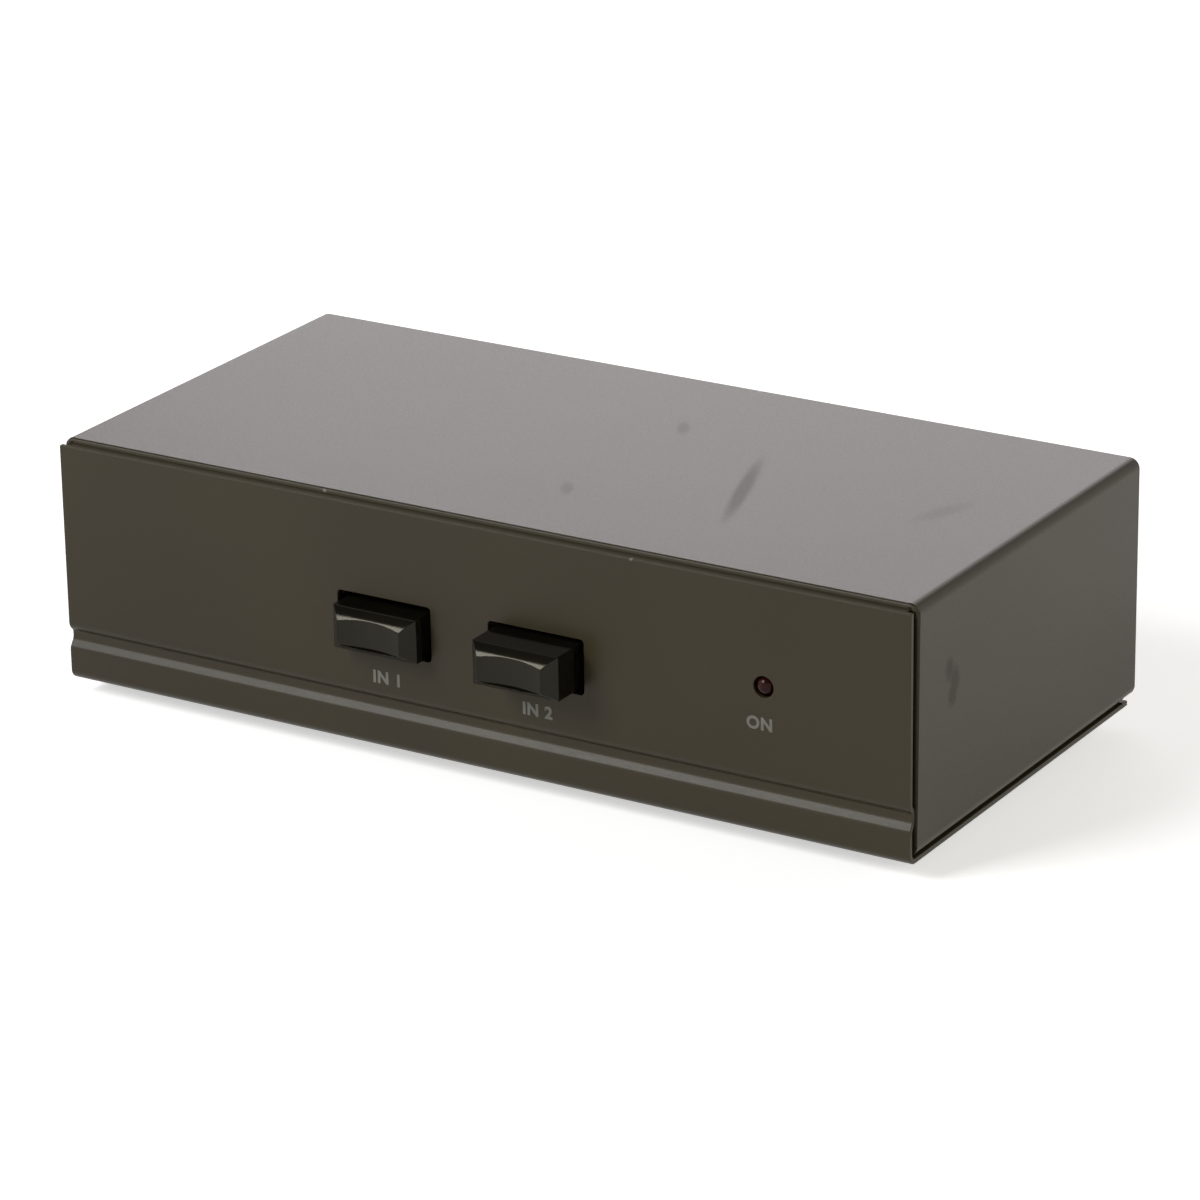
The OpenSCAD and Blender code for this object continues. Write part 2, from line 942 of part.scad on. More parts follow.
// Where a centre contact's tail and a sleeve's pin go down to the board
function tail_y() = rear_in - block_d - tail_back;
function sleeve_pin_y() = rear_in - sleeve_seat / 2;

// A block that holds two sockets against the inside of the rear panel
module jack_block(x) {
    front = rear_in - block_d;
    seat = rear_in - sleeve_seat;
    color("#17181a")
        difference() {
            union() {
                box(
                    [x - block_w / 2, front, board_top],
                    [x + block_w / 2, rear_in, board_top + block_h]
                );
                for (dx = jack_sides)
                    translate([x + dx, 0, jack_z])
                        rod_y(collar_r, rear_in, rear_y + collar_proud);
            }
            for (dx = jack_sides)
                translate([x + dx, 0, jack_z]) {
                    rod_y(sleeve_r - sleeve_step, seat, rear_y + through);
                    rod_y(contact_r, seat - contact_len, seat + hair);
                    rod_y(tail_r, front - hair, seat);
                    translate([0, sleeve_pin_y(), -through - sleeve_r])
                        cylinder(r = tail_r, h = through + sleeve_r);
                }
            translate([x, 0, jack_z])
                rod_y(screw_r, rear_y - jack_screw_len, rear_y);
        }
}

// Two sleeves: a stepped tube with a chamfered mouth, and a pin down to the board
module jack_sleeves(x) {
    seat = rear_in - sleeve_seat;
    shoulder = rear_y + collar_proud - seat;
    mouth = rear_y + sleeve_proud - seat;
    inner_r = sleeve_r - sleeve_step - sleeve_wall;
    color("#cfd1d3")
        for (dx = jack_sides)
            translate([x + dx, seat, jack_z]) {
                rotate([-90, 0, 0])
                    rotate_extrude()
                        polygon([
                            [inner_r, 0],
                            [sleeve_r - sleeve_step, 0],
                            [sleeve_r - sleeve_step, shoulder],
                            [sleeve_r, shoulder],
                            [sleeve_r, mouth - sleeve_edge],
                            [sleeve_r - sleeve_edge, mouth],
                            [inner_r, mouth]
                        ]);
                difference() {
                    translate([0, sleeve_pin_y() - seat, pin_low - jack_z])
                        cylinder(r = tail_r, h = jack_z - pin_low);
                    rod_y(inner_r + sleeve_wall / 2, -hair, mouth);
                }
            }
}

// The insulating inserts of one side's sockets
module jack_inserts(dx, tint) {
    seat = rear_in - sleeve_seat;
    color(tint)
        for (x = blocks)
            translate([x + dx, 0, jack_z])
                difference() {
                    rod_y(
                        sleeve_r - sleeve_step - sleeve_wall,
                        seat,
                        rear_y + sleeve_proud - insert_recess
                    );
                    rod_y(insert_bore_r, seat - hair, rear_y + sleeve_proud);
                }
}

module jack_centre_contacts() {
    seat = rear_in - sleeve_seat;
    start = seat - contact_len;
    color("#c9b56a")
        for (x = blocks, dx = jack_sides)
            translate([x + dx, 0, jack_z]) {
                difference() {
                    rod_y(contact_r, start, seat);
                    rod_y(contact_r - contact_wall, start + contact_wall, seat + hair);
                }
                mirror([0, 1, 0])
                    bent_lead(tail_r, -start - contact_wall / 2, -tail_y(), pin_low - jack_z);
            }
}

module jack_screws() {
    color("#2c2b2a")
        for (x = blocks)
            translate([x, rear_y, jack_z])
                rotate([90, 0, 0])
                    pan_screw(jack_screw_head_r, jack_screw_len);
}

module ground_stud() {
    color("#c9b46a")
        translate([-terminal_x, 0, jack_z]) {
            rod_y(stud_r, rear_in - stud_head_t, stud_end);
            rod_y(hex_r, rear_in - stud_head_t, rear_in, $fn = 6);
        }
}

module ground_lock_nut() {
    color("#c9c9c4")
        translate([-terminal_x, 0, jack_z])
            difference() {
                rod_y(hex_r, rear_y, rear_y + lock_nut_t, $fn = 6);
                rod_y(stud_r, rear_y - hair, rear_y + through);
            }
}

module ground_washer() {
    start = rear_y + lock_nut_t;
    color("#c9c9c4")
        translate([-terminal_x, 0, jack_z])
            difference() {
                rod_y(washer_r, start, start + washer_t);
                rod_y(washer_hole_r, start - hair, start + through);
            }
}

// Thumb nut with a neck towards the washer and a knurled rim
module ground_nut() {
    start = rear_y + lock_nut_t + washer_t;
    rim = start + thumb_neck_t;
    end = rim + thumb_t;
    color("#c9b46a")
        translate([-terminal_x, 0, jack_z])
            difference() {
                union() {
                    rod_y(thumb_neck_r, start, rim);
                    rod_y(thumb_r, rim, end);
                }
                rod_y(thumb_bore_r, start - hair, end + hair);
                for (i = [0 : knurl_count - 1])
                    rotate([0, 360 * i / knurl_count, 0])
                        translate([thumb_r + knurl_out, 0, 0])
                            rod_y(knurl_r, rim - hair, end + hair);
            }
}

module power_jack_body() {
    nose = rear_y + inlet_proud;
    floor_y = nose - inlet_depth;
    leg_y = rear_in - leaf_back;
    color("#151516")
        translate([terminal_x, 0, 0])
            difference() {
                union() {
                    box(
                        [-inlet_w / 2, rear_in - inlet_d, board_top],
                        [inlet_w / 2, rear_in, board_top + inlet_h]
                    );
                    translate([0, 0, jack_z])
                        rod_y(inlet_nose_r, rear_in, nose);
                }
                translate([0, 0, jack_z]) {
                    rod_y(inlet_bore_r, floor_y, nose + hair);
                    rod_y(inlet_pin_r, rear_in - inlet_d - hair, floor_y + hair);
                }
                box(
                    [-leaf_w / 2 - pin_slack, leg_y, board_top - hair],
                    [leaf_w / 2 + pin_slack, leg_y + leaf_reach + pin_slack, jack_z - inlet_bore_r / 2]
                );
            }
}

module power_jack_pin() {
    back = rear_in - inlet_d;
    tip = rear_y + inlet_proud - inlet_pin_recess - inlet_pin_r;
    color("#cfd1d3")
        translate([terminal_x, 0, jack_z]) {
            rod_y(inlet_pin_r, back, tip);
            translate([0, tip, 0])
                sphere(inlet_pin_r);
            mirror([0, 1, 0])
                bent_lead(tail_r, -back - tail_r, tail_back - back, pin_low - jack_z);
        }
}

// A bent strip that presses on the plug's barrel from below
module power_jack_leaf() {
    leg_y = rear_in - leaf_back;
    knee = jack_z - inlet_bore_r - leaf_t;
    color("#cfd1d3")
        translate([terminal_x, 0, 0])
            along_x(leaf_w)
                polygon([
                    [leg_y, pin_low],
                    [leg_y + leaf_t, pin_low],
                    [leg_y + leaf_t, knee - leaf_t],
                    [leg_y + leaf_reach, knee + leaf_rise],
                    [leg_y + leaf_reach, knee + leaf_rise + leaf_t],
                    [leg_y, knee]
                ]);
}

// An eight-legged chip
module chip(place) {
    low = board_top + chip_gap;
    leg_y = chip_size[1] / 2;
    color("#1b1c1e")
        translate([place[0], place[1], 0]) {
            box(
                [-chip_size[0] / 2, -leg_y, low],
                [chip_size[0] / 2, leg_y, low + chip_size[2]]
            );
            for (side = [0, 1], i = [0 : chip_legs - 1])
                mirror([0, side, 0])
                    translate([(i - (chip_legs - 1) / 2) * chip_leg_pitch, 0, 0])
                        along_x(chip_leg_w)
                            polygon([
                                [leg_y, low + chip_size[2] / 2],
                                [leg_y, low + chip_size[2] / 2 - chip_leg_t],
                                [leg_y + chip_leg_out - chip_leg_t, low + chip_size[2] / 2 - chip_leg_t],
                                [leg_y + chip_leg_out - chip_leg_t, board_top],
                                [leg_y + chip_leg_out, board_top],
                                [leg_y + chip_leg_out, low + chip_size[2] / 2]
                            ]);
        }
}

// A three-legged regulator with one flat side
module regulator() {
    color("#1b1c1e")
        translate([regulator_at[0], regulator_at[1], board_top]) {
            translate([0, 0, regulator_leg])
                difference() {
                    cylinder(r = regulator_r, h = regulator_h);
                    translate([-regulator_r, -2 * regulator_r - regulator_flat, -hair])
                        cube([2 * regulator_r, 2 * regulator_r, regulator_h + 2 * hair]);
                }
            for (i = [-1, 0, 1])
                translate([i * chip_leg_pitch / 2, 0, 0])
                    cylinder(r = resistor_lead_r, h = regulator_leg);
        }
}

// An upright can with a rolled groove near its foot
module can(r, h) {
    rotate_extrude()
        polygon([
            [0, 0],
            [r, 0],
            [r, can_groove_at - can_groove],
            [r - can_groove, can_groove_at],
            [r, can_groove_at + can_groove],
            [r, h],
            [0, h]
        ]);
}

module supply_capacitors() {
    color("#22304a")
        for (place = supply_at)
            translate([place[0], place[1], board_top])
                can(supply_r, supply_h);
}

module signal_capacitors() {
    color("#22304a")
        for (x = blocks, dx = jack_sides)
            translate([x + dx, signal_y, board_top])
                can(signal_r, signal_h);
}

module film_capacitors() {
    color("#a8892f")
        for (x = film_x, y = film_y)
            translate([x - film_size[0] / 2, y - film_size[1] / 2, board_top])
                cube(film_size);
}

// A part that lies along Y on two bent leads
module axial_part(r, length, bulge) {
    lift = r + bulge;
    half = resistor_span / 2;
    rod_y(r, -length / 2, length / 2);
    for (side = [0, 1])
        mirror([0, side, 0]) {
            rod_y(lift, length / 2 - resistor_bulge_len, length / 2);
            bent_lead(resistor_lead_r, length / 2 - hair, half, -lift);
        }
}

module resistors() {
    color("#b79a73")
        for (row = resistor_rows, i = [0 : row[3] - 1])
            translate([row[0] + i * row[2], row[1], board_top + resistor_r + resistor_bulge])
                axial_part(resistor_r, resistor_len, resistor_bulge);
}

module input_diode() {
    color("#202124")
        translate([diode_at[0], diode_at[1], board_top + diode_r])
            axial_part(diode_r, diode_len, 0);
}

chassis();
cover();
cover_screws();
foot(-1, foot_y[0]);  // foot_front_left
foot(1, foot_y[0]);  // foot_front_right
foot(-1, foot_y[1]);  // foot_rear_left
foot(1, foot_y[1]);  // foot_rear_right
aux_button();
phono_button();
aux_plunger();
phono_plunger();
return_spring(aux_x, press_travel);  // aux_return_spring
return_spring(phono_x, 0);  // phono_return_spring
selector_bracket();
switch_body(aux_x);  // aux_switch_body
switch_body(phono_x);  // phono_switch_body
switch_terminals();
latch_plate();
latch_spring();
power_lamp();
lamp_leads();
lamp_holder();
circuit_board();
board_spacers();
board_screws();
jack_block(blocks[0]);  // phono_jack_block
jack_block(blocks[1]);  // aux_jack_block
jack_block(blocks[2]);  // output_jack_block
jack_sleeves(blocks[0]);  // phono_jack_sleeves
jack_sleeves(blocks[1]);  // aux_jack_sleeves
jack_sleeves(blocks[2]);  // output_jack_sleeves
jack_inserts(jack_sides[1], "#e8e6df");  // left_jack_inserts
jack_inserts(jack_sides[0], "#a81e1b");  // right_jack_inserts
jack_centre_contacts();
jack_screws();
ground_stud();
ground_lock_nut();
ground_washer();
ground_nut();
power_jack_body();
power_jack_pin();
power_jack_leaf();
chip(phono_chip_at);  // phono_chip
chip(line_chip_at);  // line_chip
regulator();
supply_capacitors();
signal_capacitors();
film_capacitors();
resistors();
input_diode();
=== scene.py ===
import math

import bmesh
import bpy
from mathutils import Matrix, Vector


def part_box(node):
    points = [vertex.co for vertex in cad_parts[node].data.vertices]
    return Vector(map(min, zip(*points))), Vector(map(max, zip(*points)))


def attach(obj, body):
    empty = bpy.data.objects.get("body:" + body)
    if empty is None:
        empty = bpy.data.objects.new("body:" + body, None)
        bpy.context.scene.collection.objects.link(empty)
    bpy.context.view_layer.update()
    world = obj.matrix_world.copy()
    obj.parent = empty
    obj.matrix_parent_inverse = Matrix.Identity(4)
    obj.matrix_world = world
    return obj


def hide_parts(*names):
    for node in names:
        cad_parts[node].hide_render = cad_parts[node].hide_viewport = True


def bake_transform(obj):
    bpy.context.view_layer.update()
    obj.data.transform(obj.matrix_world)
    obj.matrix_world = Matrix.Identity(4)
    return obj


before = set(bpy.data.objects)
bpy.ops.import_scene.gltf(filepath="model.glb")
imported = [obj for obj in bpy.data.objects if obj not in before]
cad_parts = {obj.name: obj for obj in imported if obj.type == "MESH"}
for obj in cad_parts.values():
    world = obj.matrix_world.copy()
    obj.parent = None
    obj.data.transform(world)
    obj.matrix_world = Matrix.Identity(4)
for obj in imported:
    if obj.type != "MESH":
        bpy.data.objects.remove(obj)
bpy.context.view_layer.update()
scene = bpy.context.scene
MM = 0.001

# Camera: above the front panel and to its right, with the long lens of a product picture.
# Its place, its turn and its small roll are those of the photograph's view of the case.
CAMERA_PLACE = (0.39388, -0.63891, 0.30559)
CAMERA_TURN = math.radians(31.61)
CAMERA_LOOK_DOWN = math.radians(21.03)
CAMERA_ROLL = math.radians(-0.90)
CAMERA_LENS = 161.0
CAMERA_SENSOR = 36
bpy.ops.object.camera_add(location=CAMERA_PLACE)
camera = bpy.context.object
camera.rotation_euler = (
    Matrix.Rotation(CAMERA_TURN, 3, "Z")
    @ Matrix.Rotation(math.pi / 2 - CAMERA_LOOK_DOWN, 3, "X")
    @ Matrix.Rotation(CAMERA_ROLL, 3, "Z")
).to_euler()
camera.data.lens = CAMERA_LENS
camera.data.sensor_width = CAMERA_SENSOR
scene.camera = camera

# Studio: a pale floor and backdrop under a dim ceiling, with soft boxes in front on the left, behind and
# on the right. The backdrop and the floor look white to the eye and in reflections, and the floor keeps
# the shadow.
WHITE = (1, 1, 1, 1)
SURROUND_FILL = 0.45
CEILING = 0.12
CEILING_START, CEILING_END = 0.44, 0.58
FLOOR_SIZE = 6
FLOOR_TONE = (0.9, 0.9, 0.9, 1)
FLOOR_ROUGHNESS = 0.9
FLOOR_LIFT = 0.55
scene.view_settings.view_transform = "Standard"


def combined(tree, operation, first, second):
    """One value worked out from two others."""
    working = tree.nodes.new("ShaderNodeMath")
    working.operation = operation
    tree.links.new(first, working.inputs[0])
    tree.links.new(second, working.inputs[1])
    return working.outputs[0]


def seen_straight(tree):
    """1 for rays from the camera, or by way of a mirror or a lens, and 0 for the rest."""
    path = tree.nodes.new("ShaderNodeLightPath")
    seen = path.outputs["Is Camera Ray"]
    for ray in ("Is Glossy Ray", "Is Transmission Ray"):
        seen = combined(tree, "MAXIMUM", seen, path.outputs[ray])
    return seen


def between(tree, value, low, high, value_low=0.0, value_high=1.0):
    """A value that runs from low to high while another runs over its own span."""
    band = tree.nodes.new("ShaderNodeMapRange")
    for name, level in (
        ("From Min", value_low),
        ("From Max", value_high),
        ("To Min", low),
        ("To Max", high),
    ):
        band.inputs[name].default_value = level
    tree.links.new(value, band.inputs["Value"])
    return band.outputs["Result"]


def soft_box(name, towards, distance, width, height, power, tint=(1, 1, 1), mirrored=True):
    """A rectangular lamp that stands off in a direction and faces the case."""
    away = Vector(towards).normalized()
    bpy.ops.object.light_add(type="AREA", location=away * distance)
    lamp = bpy.context.object
    lamp.name = name
    lamp.rotation_euler = away.to_track_quat("Z", "Y").to_euler()
    lamp.data.shape = "RECTANGLE"
    lamp.data.size = width
    lamp.data.size_y = height
    lamp.data.energy = power
    lamp.data.color = tint
    lamp.visible_camera = False
    lamp.visible_glossy = mirrored


surround = bpy.data.worlds.new("white_surround")
surround.use_nodes = True
scene.world = surround
surround_tree = surround.node_tree
direction = surround_tree.nodes.new("ShaderNodeTexCoord")
slope = surround_tree.nodes.new("ShaderNodeSeparateXYZ")
surround_tree.links.new(direction.outputs["Generated"], slope.inputs["Vector"])
dimmed = between(surround_tree, slope.outputs["Z"], 1.0, CEILING, CEILING_START, CEILING_END)
eye = surround_tree.nodes.new("ShaderNodeLightPath").outputs["Is Camera Ray"]
shown = combined(surround_tree, "MAXIMUM", dimmed, eye)
seen_level = between(surround_tree, seen_straight(surround_tree), SURROUND_FILL, 1.0)
backdrop = surround_tree.nodes["Background"]
surround_tree.links.new(combined(surround_tree, "MULTIPLY", seen_level, shown), backdrop.inputs["Strength"])
backdrop.inputs["Color"].default_value = WHITE

bpy.ops.object.select_all(action="DESELECT")
bpy.ops.mesh.primitive_plane_add(size=FLOOR_SIZE)
floor = bpy.context.object
floor.name = "pale_floor"
floor_paper = bpy.data.materials.new("floor_paper")
floor_paper.use_nodes = True
floor_shader = floor_paper.node_tree.nodes["Principled BSDF"]
floor_shader.inputs["Base Color"].default_value = FLOOR_TONE
floor_shader.inputs["Roughness"].default_value = FLOOR_ROUGHNESS
floor_shader.inputs["Specular IOR Level"].default_value = 0.0
floor_shader.inputs["Emission Color"].default_value = WHITE
floor_paper.node_tree.links.new(
    between(floor_paper.node_tree, seen_straight(floor_paper.node_tree), 0.0, FLOOR_LIFT),
    floor_shader.inputs["Emission Strength"],
)
floor.data.materials.append(floor_paper)

soft_box(
    "front_soft_box", towards=(-0.435, -0.64, 0.63), distance=1.2, width=0.52, height=0.50, power=9
)
soft_box(
    "rear_soft_box",
    towards=(-0.35, 0.85, 0.40),
    distance=1.5,
    width=1.05,
    height=0.9,
    power=6.0,
    tint=(1, 0.93, 0.98),
)
soft_box(
    "right_soft_box",
    towards=(0.62, 0.70, 0.30),
    distance=1.2,
    width=0.8,
    height=0.6,
    power=5.5,
    tint=(1, 0.95, 0.75),
    mirrored=False,
)

# Chassis: one blank of 0.8 mm steel, punched and folded into front panel, floor and rear panel, with a
# groove pressed along the foot of the panel. It is sprayed with a fine-grained olive-grey enamel, rubbed
# dull in places, chipped at a few edges and dusty in the seam over the panel; the seam's lighter colour
# is also painted light that lifts the shade there. All else is fixed to it.
SHEET = 0.8 * MM
PANEL_BEND = 1.0 * MM
LIP_BEND = 0.15 * MM
FOOT_BEND = 1.6 * MM
FLANGE = 9.5 * MM
FLANGE_SIDE_GAP = 1.1 * MM
REAR_SIDE_GAP = 0.8 * MM
RELIEF = (1.8 * MM, 1.0 * MM, 2.9 * MM)
FLAT_CORNER = 1.5 * MM
GROOVE_LOW, GROOVE_LOW_SLOPE = 5.2 * MM, 1.4 * MM
GROOVE_HIGH, GROOVE_HIGH_SLOPE = 8.5 * MM, 0.7 * MM
GROOVE_DEPTH = 0.9 * MM
GROOVE_BEND = 0.35 * MM
GROOVE_BROW = 0.75 * MM
SHEET_EDGE = 0.12 * MM
CUTOUT = (16.1 * MM, 8.5 * MM)
CUTOUT_CORNER = 0.6 * MM
LAMP_HOLE_R = 1.6 * MM
JACK_PITCH = 15.0 * MM
JACK_HOLE_R = 4.7 * MM
STUD_R = 2.0 * MM
INLET_HOLE_R = 4.2 * MM
SCREW_R = 1.45 * MM
COVER_SCREW_HEAD_R = 2.75 * MM
SPACER_R = 3.0 * MM
SPIGOT_R = 2.1 * MM
BEND_STEPS = 8
CORNER_STEPS = 6
EDGE_STEPS = 4
MOSTLY = 0.9
GRAIN_LOW, GRAIN_HIGH = 0.3, 0.7
MARK_CORE = 0.45
PAST = 6.0 * MM
TO_REAR = (-math.pi / 2, 0, 0)
TINY = 0.001 * MM

chassis_low, chassis_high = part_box("chassis")
front_y, rear_y = chassis_low.y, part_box("ground_lock_nut")[0].y
floor_z, lip_z = chassis_low.z, chassis_high.z
half_width = chassis_high.x


def middle_of(name):
    """The middle of a CAD piece."""
    low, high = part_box(name)
    return (low + high) / 2


aux_cap, phono_cap = middle_of("aux_button"), middle_of("phono_button")
lamp_place = middle_of("power_lamp")
block_places = [middle_of(f"{use}_jack_block").x for use in ("phono", "aux", "output")]
jack_z = middle_of("jack_screws").z
stud_x = middle_of("ground_stud").x
inlet_x = middle_of("power_jack_pin").x


def corners_of(name, radius):
    """Where the four like, round parts of a CAD piece stand, as (x, y)."""
    low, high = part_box(name)
    return [(x, y) for x in (low.x + radius, high.x - radius) for y in (low.y + radius, high.y - radius)]


def srgb(red, green, blue):
    """A colour as a screen shows it, 0 to 255, in the linear values that a shader takes."""
    parts = [v / 255 for v in (red, green, blue)]
    return (*(v / 12.92 if v < 0.04045 else ((v + 0.055) / 1.055) ** 2.4 for v in parts), 1)


def noise(tree, size, stretch=(1, 1, 1)):
    """Noise fixed to a piece, with grains of about that size, drawn out along an axis if asked."""
    place = tree.nodes.new("ShaderNodeTexCoord")
    drawn = tree.nodes.new("ShaderNodeMapping")
    drawn.inputs["Scale"].default_value = [1 / (size * s) for s in stretch]
    field = tree.nodes.new("ShaderNodeTexNoise")
    field.inputs["Scale"].default_value = 1
    tree.links.new(place.outputs["Object"], drawn.inputs["Vector"])
    tree.links.new(drawn.outputs["Vector"], field.inputs["Vector"])
    return field.outputs["Fac"]


def tones(tree, value, dark, light, start=0.35, end=0.65):
    """Colours from dark to light along a value."""
    ramp = tree.nodes.new("ShaderNodeValToRGB")
    for stop, position, colour in zip(ramp.color_ramp.elements, (start, end), (dark, light)):
        stop.position = position
        stop.color = colour
    tree.links.new(value, ramp.inputs["Fac"])
    return ramp.outputs["Color"]


def surface(name, dark, light, blotch, grain, gloss, relief, metal=0.0, stretch=(1, 1, 1)):
    """A finish whose colour drifts between two tones, with a fine grain in its gloss and relief."""
    material = bpy.data.materials.new(name)
    material.use_nodes = True
    tree = material.node_tree
    shader = tree.nodes["Principled BSDF"]
    shader.inputs["Metallic"].default_value = metal
    tree.links.new(tones(tree, noise(tree, blotch), dark, light), shader.inputs["Base Color"])
    fine = noise(tree, grain, stretch)
    tree.links.new(between(tree, fine, *gloss, GRAIN_LOW, GRAIN_HIGH), shader.inputs["Roughness"])
    raised = tree.nodes.new("ShaderNodeBump")
    raised.inputs["Distance"].default_value = relief
    tree.links.new(fine, raised.inputs["Height"])
    tree.links.new(raised.outputs["Normal"], shader.inputs["Normal"])
    return material


def dull(material, level, tint=WHITE):
    """Sets how strongly a finish mirrors, and the colour of what it mirrors."""
    shader = material.node_tree.nodes["Principled BSDF"]
    shader.inputs["Specular IOR Level"].default_value = level
    shader.inputs["Specular Tint"].default_value = tint


# Used for real wear marks and for the painted light in the seam over the panel.
def mark_finish(material, marks, colour, roughness, strength):
    """Changes a finish inside soft-edged marks: middle and half sizes in mm, and a turn in degrees."""
    tree = material.node_tree
    shader = tree.nodes["Principled BSDF"]
    marked_mask = None
    for middle, half_sizes, turn in marks:
        place = tree.nodes.new("ShaderNodeTexCoord")
        fitted = tree.nodes.new("ShaderNodeMapping")
        fitted.vector_type = "TEXTURE"
        fitted.inputs["Location"].default_value = [v * MM for v in middle]
        fitted.inputs["Rotation"].default_value[2] = math.radians(turn)
        fitted.inputs["Scale"].default_value = [v * MM for v in half_sizes]
        tree.links.new(place.outputs["Object"], fitted.inputs["Vector"])
        reach = tree.nodes.new("ShaderNodeVectorMath")
        reach.operation = "LENGTH"
        tree.links.new(fitted.outputs["Vector"], reach.inputs[0])
        mark = between(tree, reach.outputs["Value"], strength, 0.0, MARK_CORE, 1.0)
        marked_mask = mark if marked_mask is None else combined(tree, "MAXIMUM", marked_mask, mark)
    for socket, kind, value in (("Base Color", "RGBA", colour), ("Roughness", "FLOAT", roughness)):
        mixed = tree.nodes.new("ShaderNodeMix")
        mixed.data_type = kind
        first, second = [s for s in mixed.inputs if s.enabled and s.name in ("A", "B")]
        tree.links.new(marked_mask, mixed.inputs["Factor"])
        tree.links.new(shader.inputs[socket].links[0].from_socket, first)
        second.default_value = value
        result = [s for s in mixed.outputs if s.enabled][0]
        tree.links.new(result, shader.inputs[socket])


def leave_edit():
    """Ends editing and leaves nothing selected."""
    if bpy.context.mode != "OBJECT":
        bpy.ops.object.mode_set(mode="OBJECT")
    bpy.ops.object.select_all(action="DESELECT")


def settle(piece, name):
    """Names a new piece and puts its place, turn and size into its mesh."""
    leave_edit()
    piece.name = name
    piece.data.name = name
    piece.select_set(True)
    bpy.context.view_layer.objects.active = piece
    bpy.ops.object.transform_apply(location=True, rotation=True, scale=True)
    return piece


def block(name, low, high):
    """A box between two corners."""
    leave_edit()
    low, high = Vector(low), Vector(high)
    bpy.ops.mesh.primitive_cube_add(size=1, location=(low + high) / 2)
    bpy.context.object.scale = high - low
    return settle(bpy.context.object, name)


def flat_sheet(name, low, high, height):
    """A level sheet with no thickness yet, between two corners."""
    leave_edit()
    bpy.ops.mesh.primitive_plane_add(size=1, location=((low.x + high.x) / 2, (low.y + high.y) / 2, height))
    bpy.context.object.scale = (high.x - low.x, high.y - low.y, 1)
    return settle(bpy.context.object, name)


def pick(piece, kind, test):
    """Opens a piece for editing and selects the edges or faces whose middle and direction pass a test."""
    leave_edit()
    bpy.context.view_layer.objects.active = piece
    bpy.ops.object.mode_set(mode="EDIT")
    bpy.ops.mesh.select_mode(type=kind)
    bpy.ops.mesh.select_all(action="DESELECT")
    shape = bmesh.from_edit_mesh(piece.data)
    if kind == "EDGE":
        ends = [(edge, *(v.co for v in edge.verts)) for edge in shape.edges]
        found = [edge for edge, a, b in ends if test((a + b) / 2, (b - a).normalized())]
    else:
        found = [face for face in shape.faces if test(face.calc_center_median(), face.normal)]
    for element in found:
        element.select_set(True)
    bmesh.update_edit_mesh(piece.data)


def near(a, b):
    """Are two lengths the same?"""
    return abs(a - b) < TINY


def fold(sheet, test, moves):
    """Draws one edge of a sheet out through a row of moves."""
    pick(sheet, "EDGE", test)
    for move in moves:
        bpy.ops.mesh.extrude_region_move(TRANSFORM_OT_translate={"value": move})
    leave_edit()


def round_folds(sheet, test, offset, segments):
    """Rounds the fold lines that pass a test."""
    pick(sheet, "EDGE", test)
    bpy.ops.mesh.bevel(offset=offset, segments=segments, affect="EDGES", clamp_overlap=False)
    leave_edit()


def apply_all(piece):
    """Applies a piece's modifiers in their order."""
    leave_edit()
    bpy.context.view_layer.objects.active = piece
    for modifier in list(piece.modifiers):
        bpy.ops.object.modifier_apply(modifier=modifier.name)


def thicken(sheet):
    """Gives a folded sheet its thickness, inwards from its outer faces."""
    wall = sheet.modifiers.new("wall", "SOLIDIFY")
    wall.thickness = SHEET
    wall.offset = -1
    wall.use_even_offset = True
    apply_all(sheet)


def cut(piece, cutter, operation="DIFFERENCE"):
    """Cuts one shape out of a piece, or joins it on, and throws the shape away."""
    change = piece.modifiers.new("cut", "BOOLEAN")
    change.operation = operation
    change.solver = "EXACT"
    change.object = cutter
    apply_all(piece)
    bpy.data.objects.remove(cutter)


def drill(piece, radius, start, end, vertices=64):
    """Drills a round hole between two points."""
    leave_edit()
    start, end = Vector(start), Vector(end)
    way = end - start
    bpy.ops.mesh.primitive_cylinder_add(
        vertices=vertices,
        radius=radius,
        depth=way.length,
        location=(start + end) / 2,
        rotation=way.to_track_quat("Z", "Y").to_euler(),
    )
    cut(piece, settle(bpy.context.object, "drill"))


def soften(piece, radius, segments=2, angle=math.radians(32)):
    """Rounds every sharp edge a little and shades the rest smooth."""
    edge = piece.modifiers.new("edge", "BEVEL")
    edge.width = radius
    edge.segments = segments
    edge.limit_method = "ANGLE"
    edge.angle_limit = angle
    edge.use_clamp_overlap = False
    apply_all(piece)
    piece.select_set(True)
    bpy.ops.object.shade_smooth_by_angle(angle=angle)
    weigh = piece.modifiers.new("weigh", "WEIGHTED_NORMAL")
    weigh.keep_sharp = True
    apply_all(piece)


def hand_over(piece, material, body, slot, *nodes):
    """Gives a finished piece its finish and its body, and hides the CAD pieces that it stands for."""
    piece.data.materials.clear()
    piece.data.materials.append(material)
    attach(piece, body)
    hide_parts(*nodes)


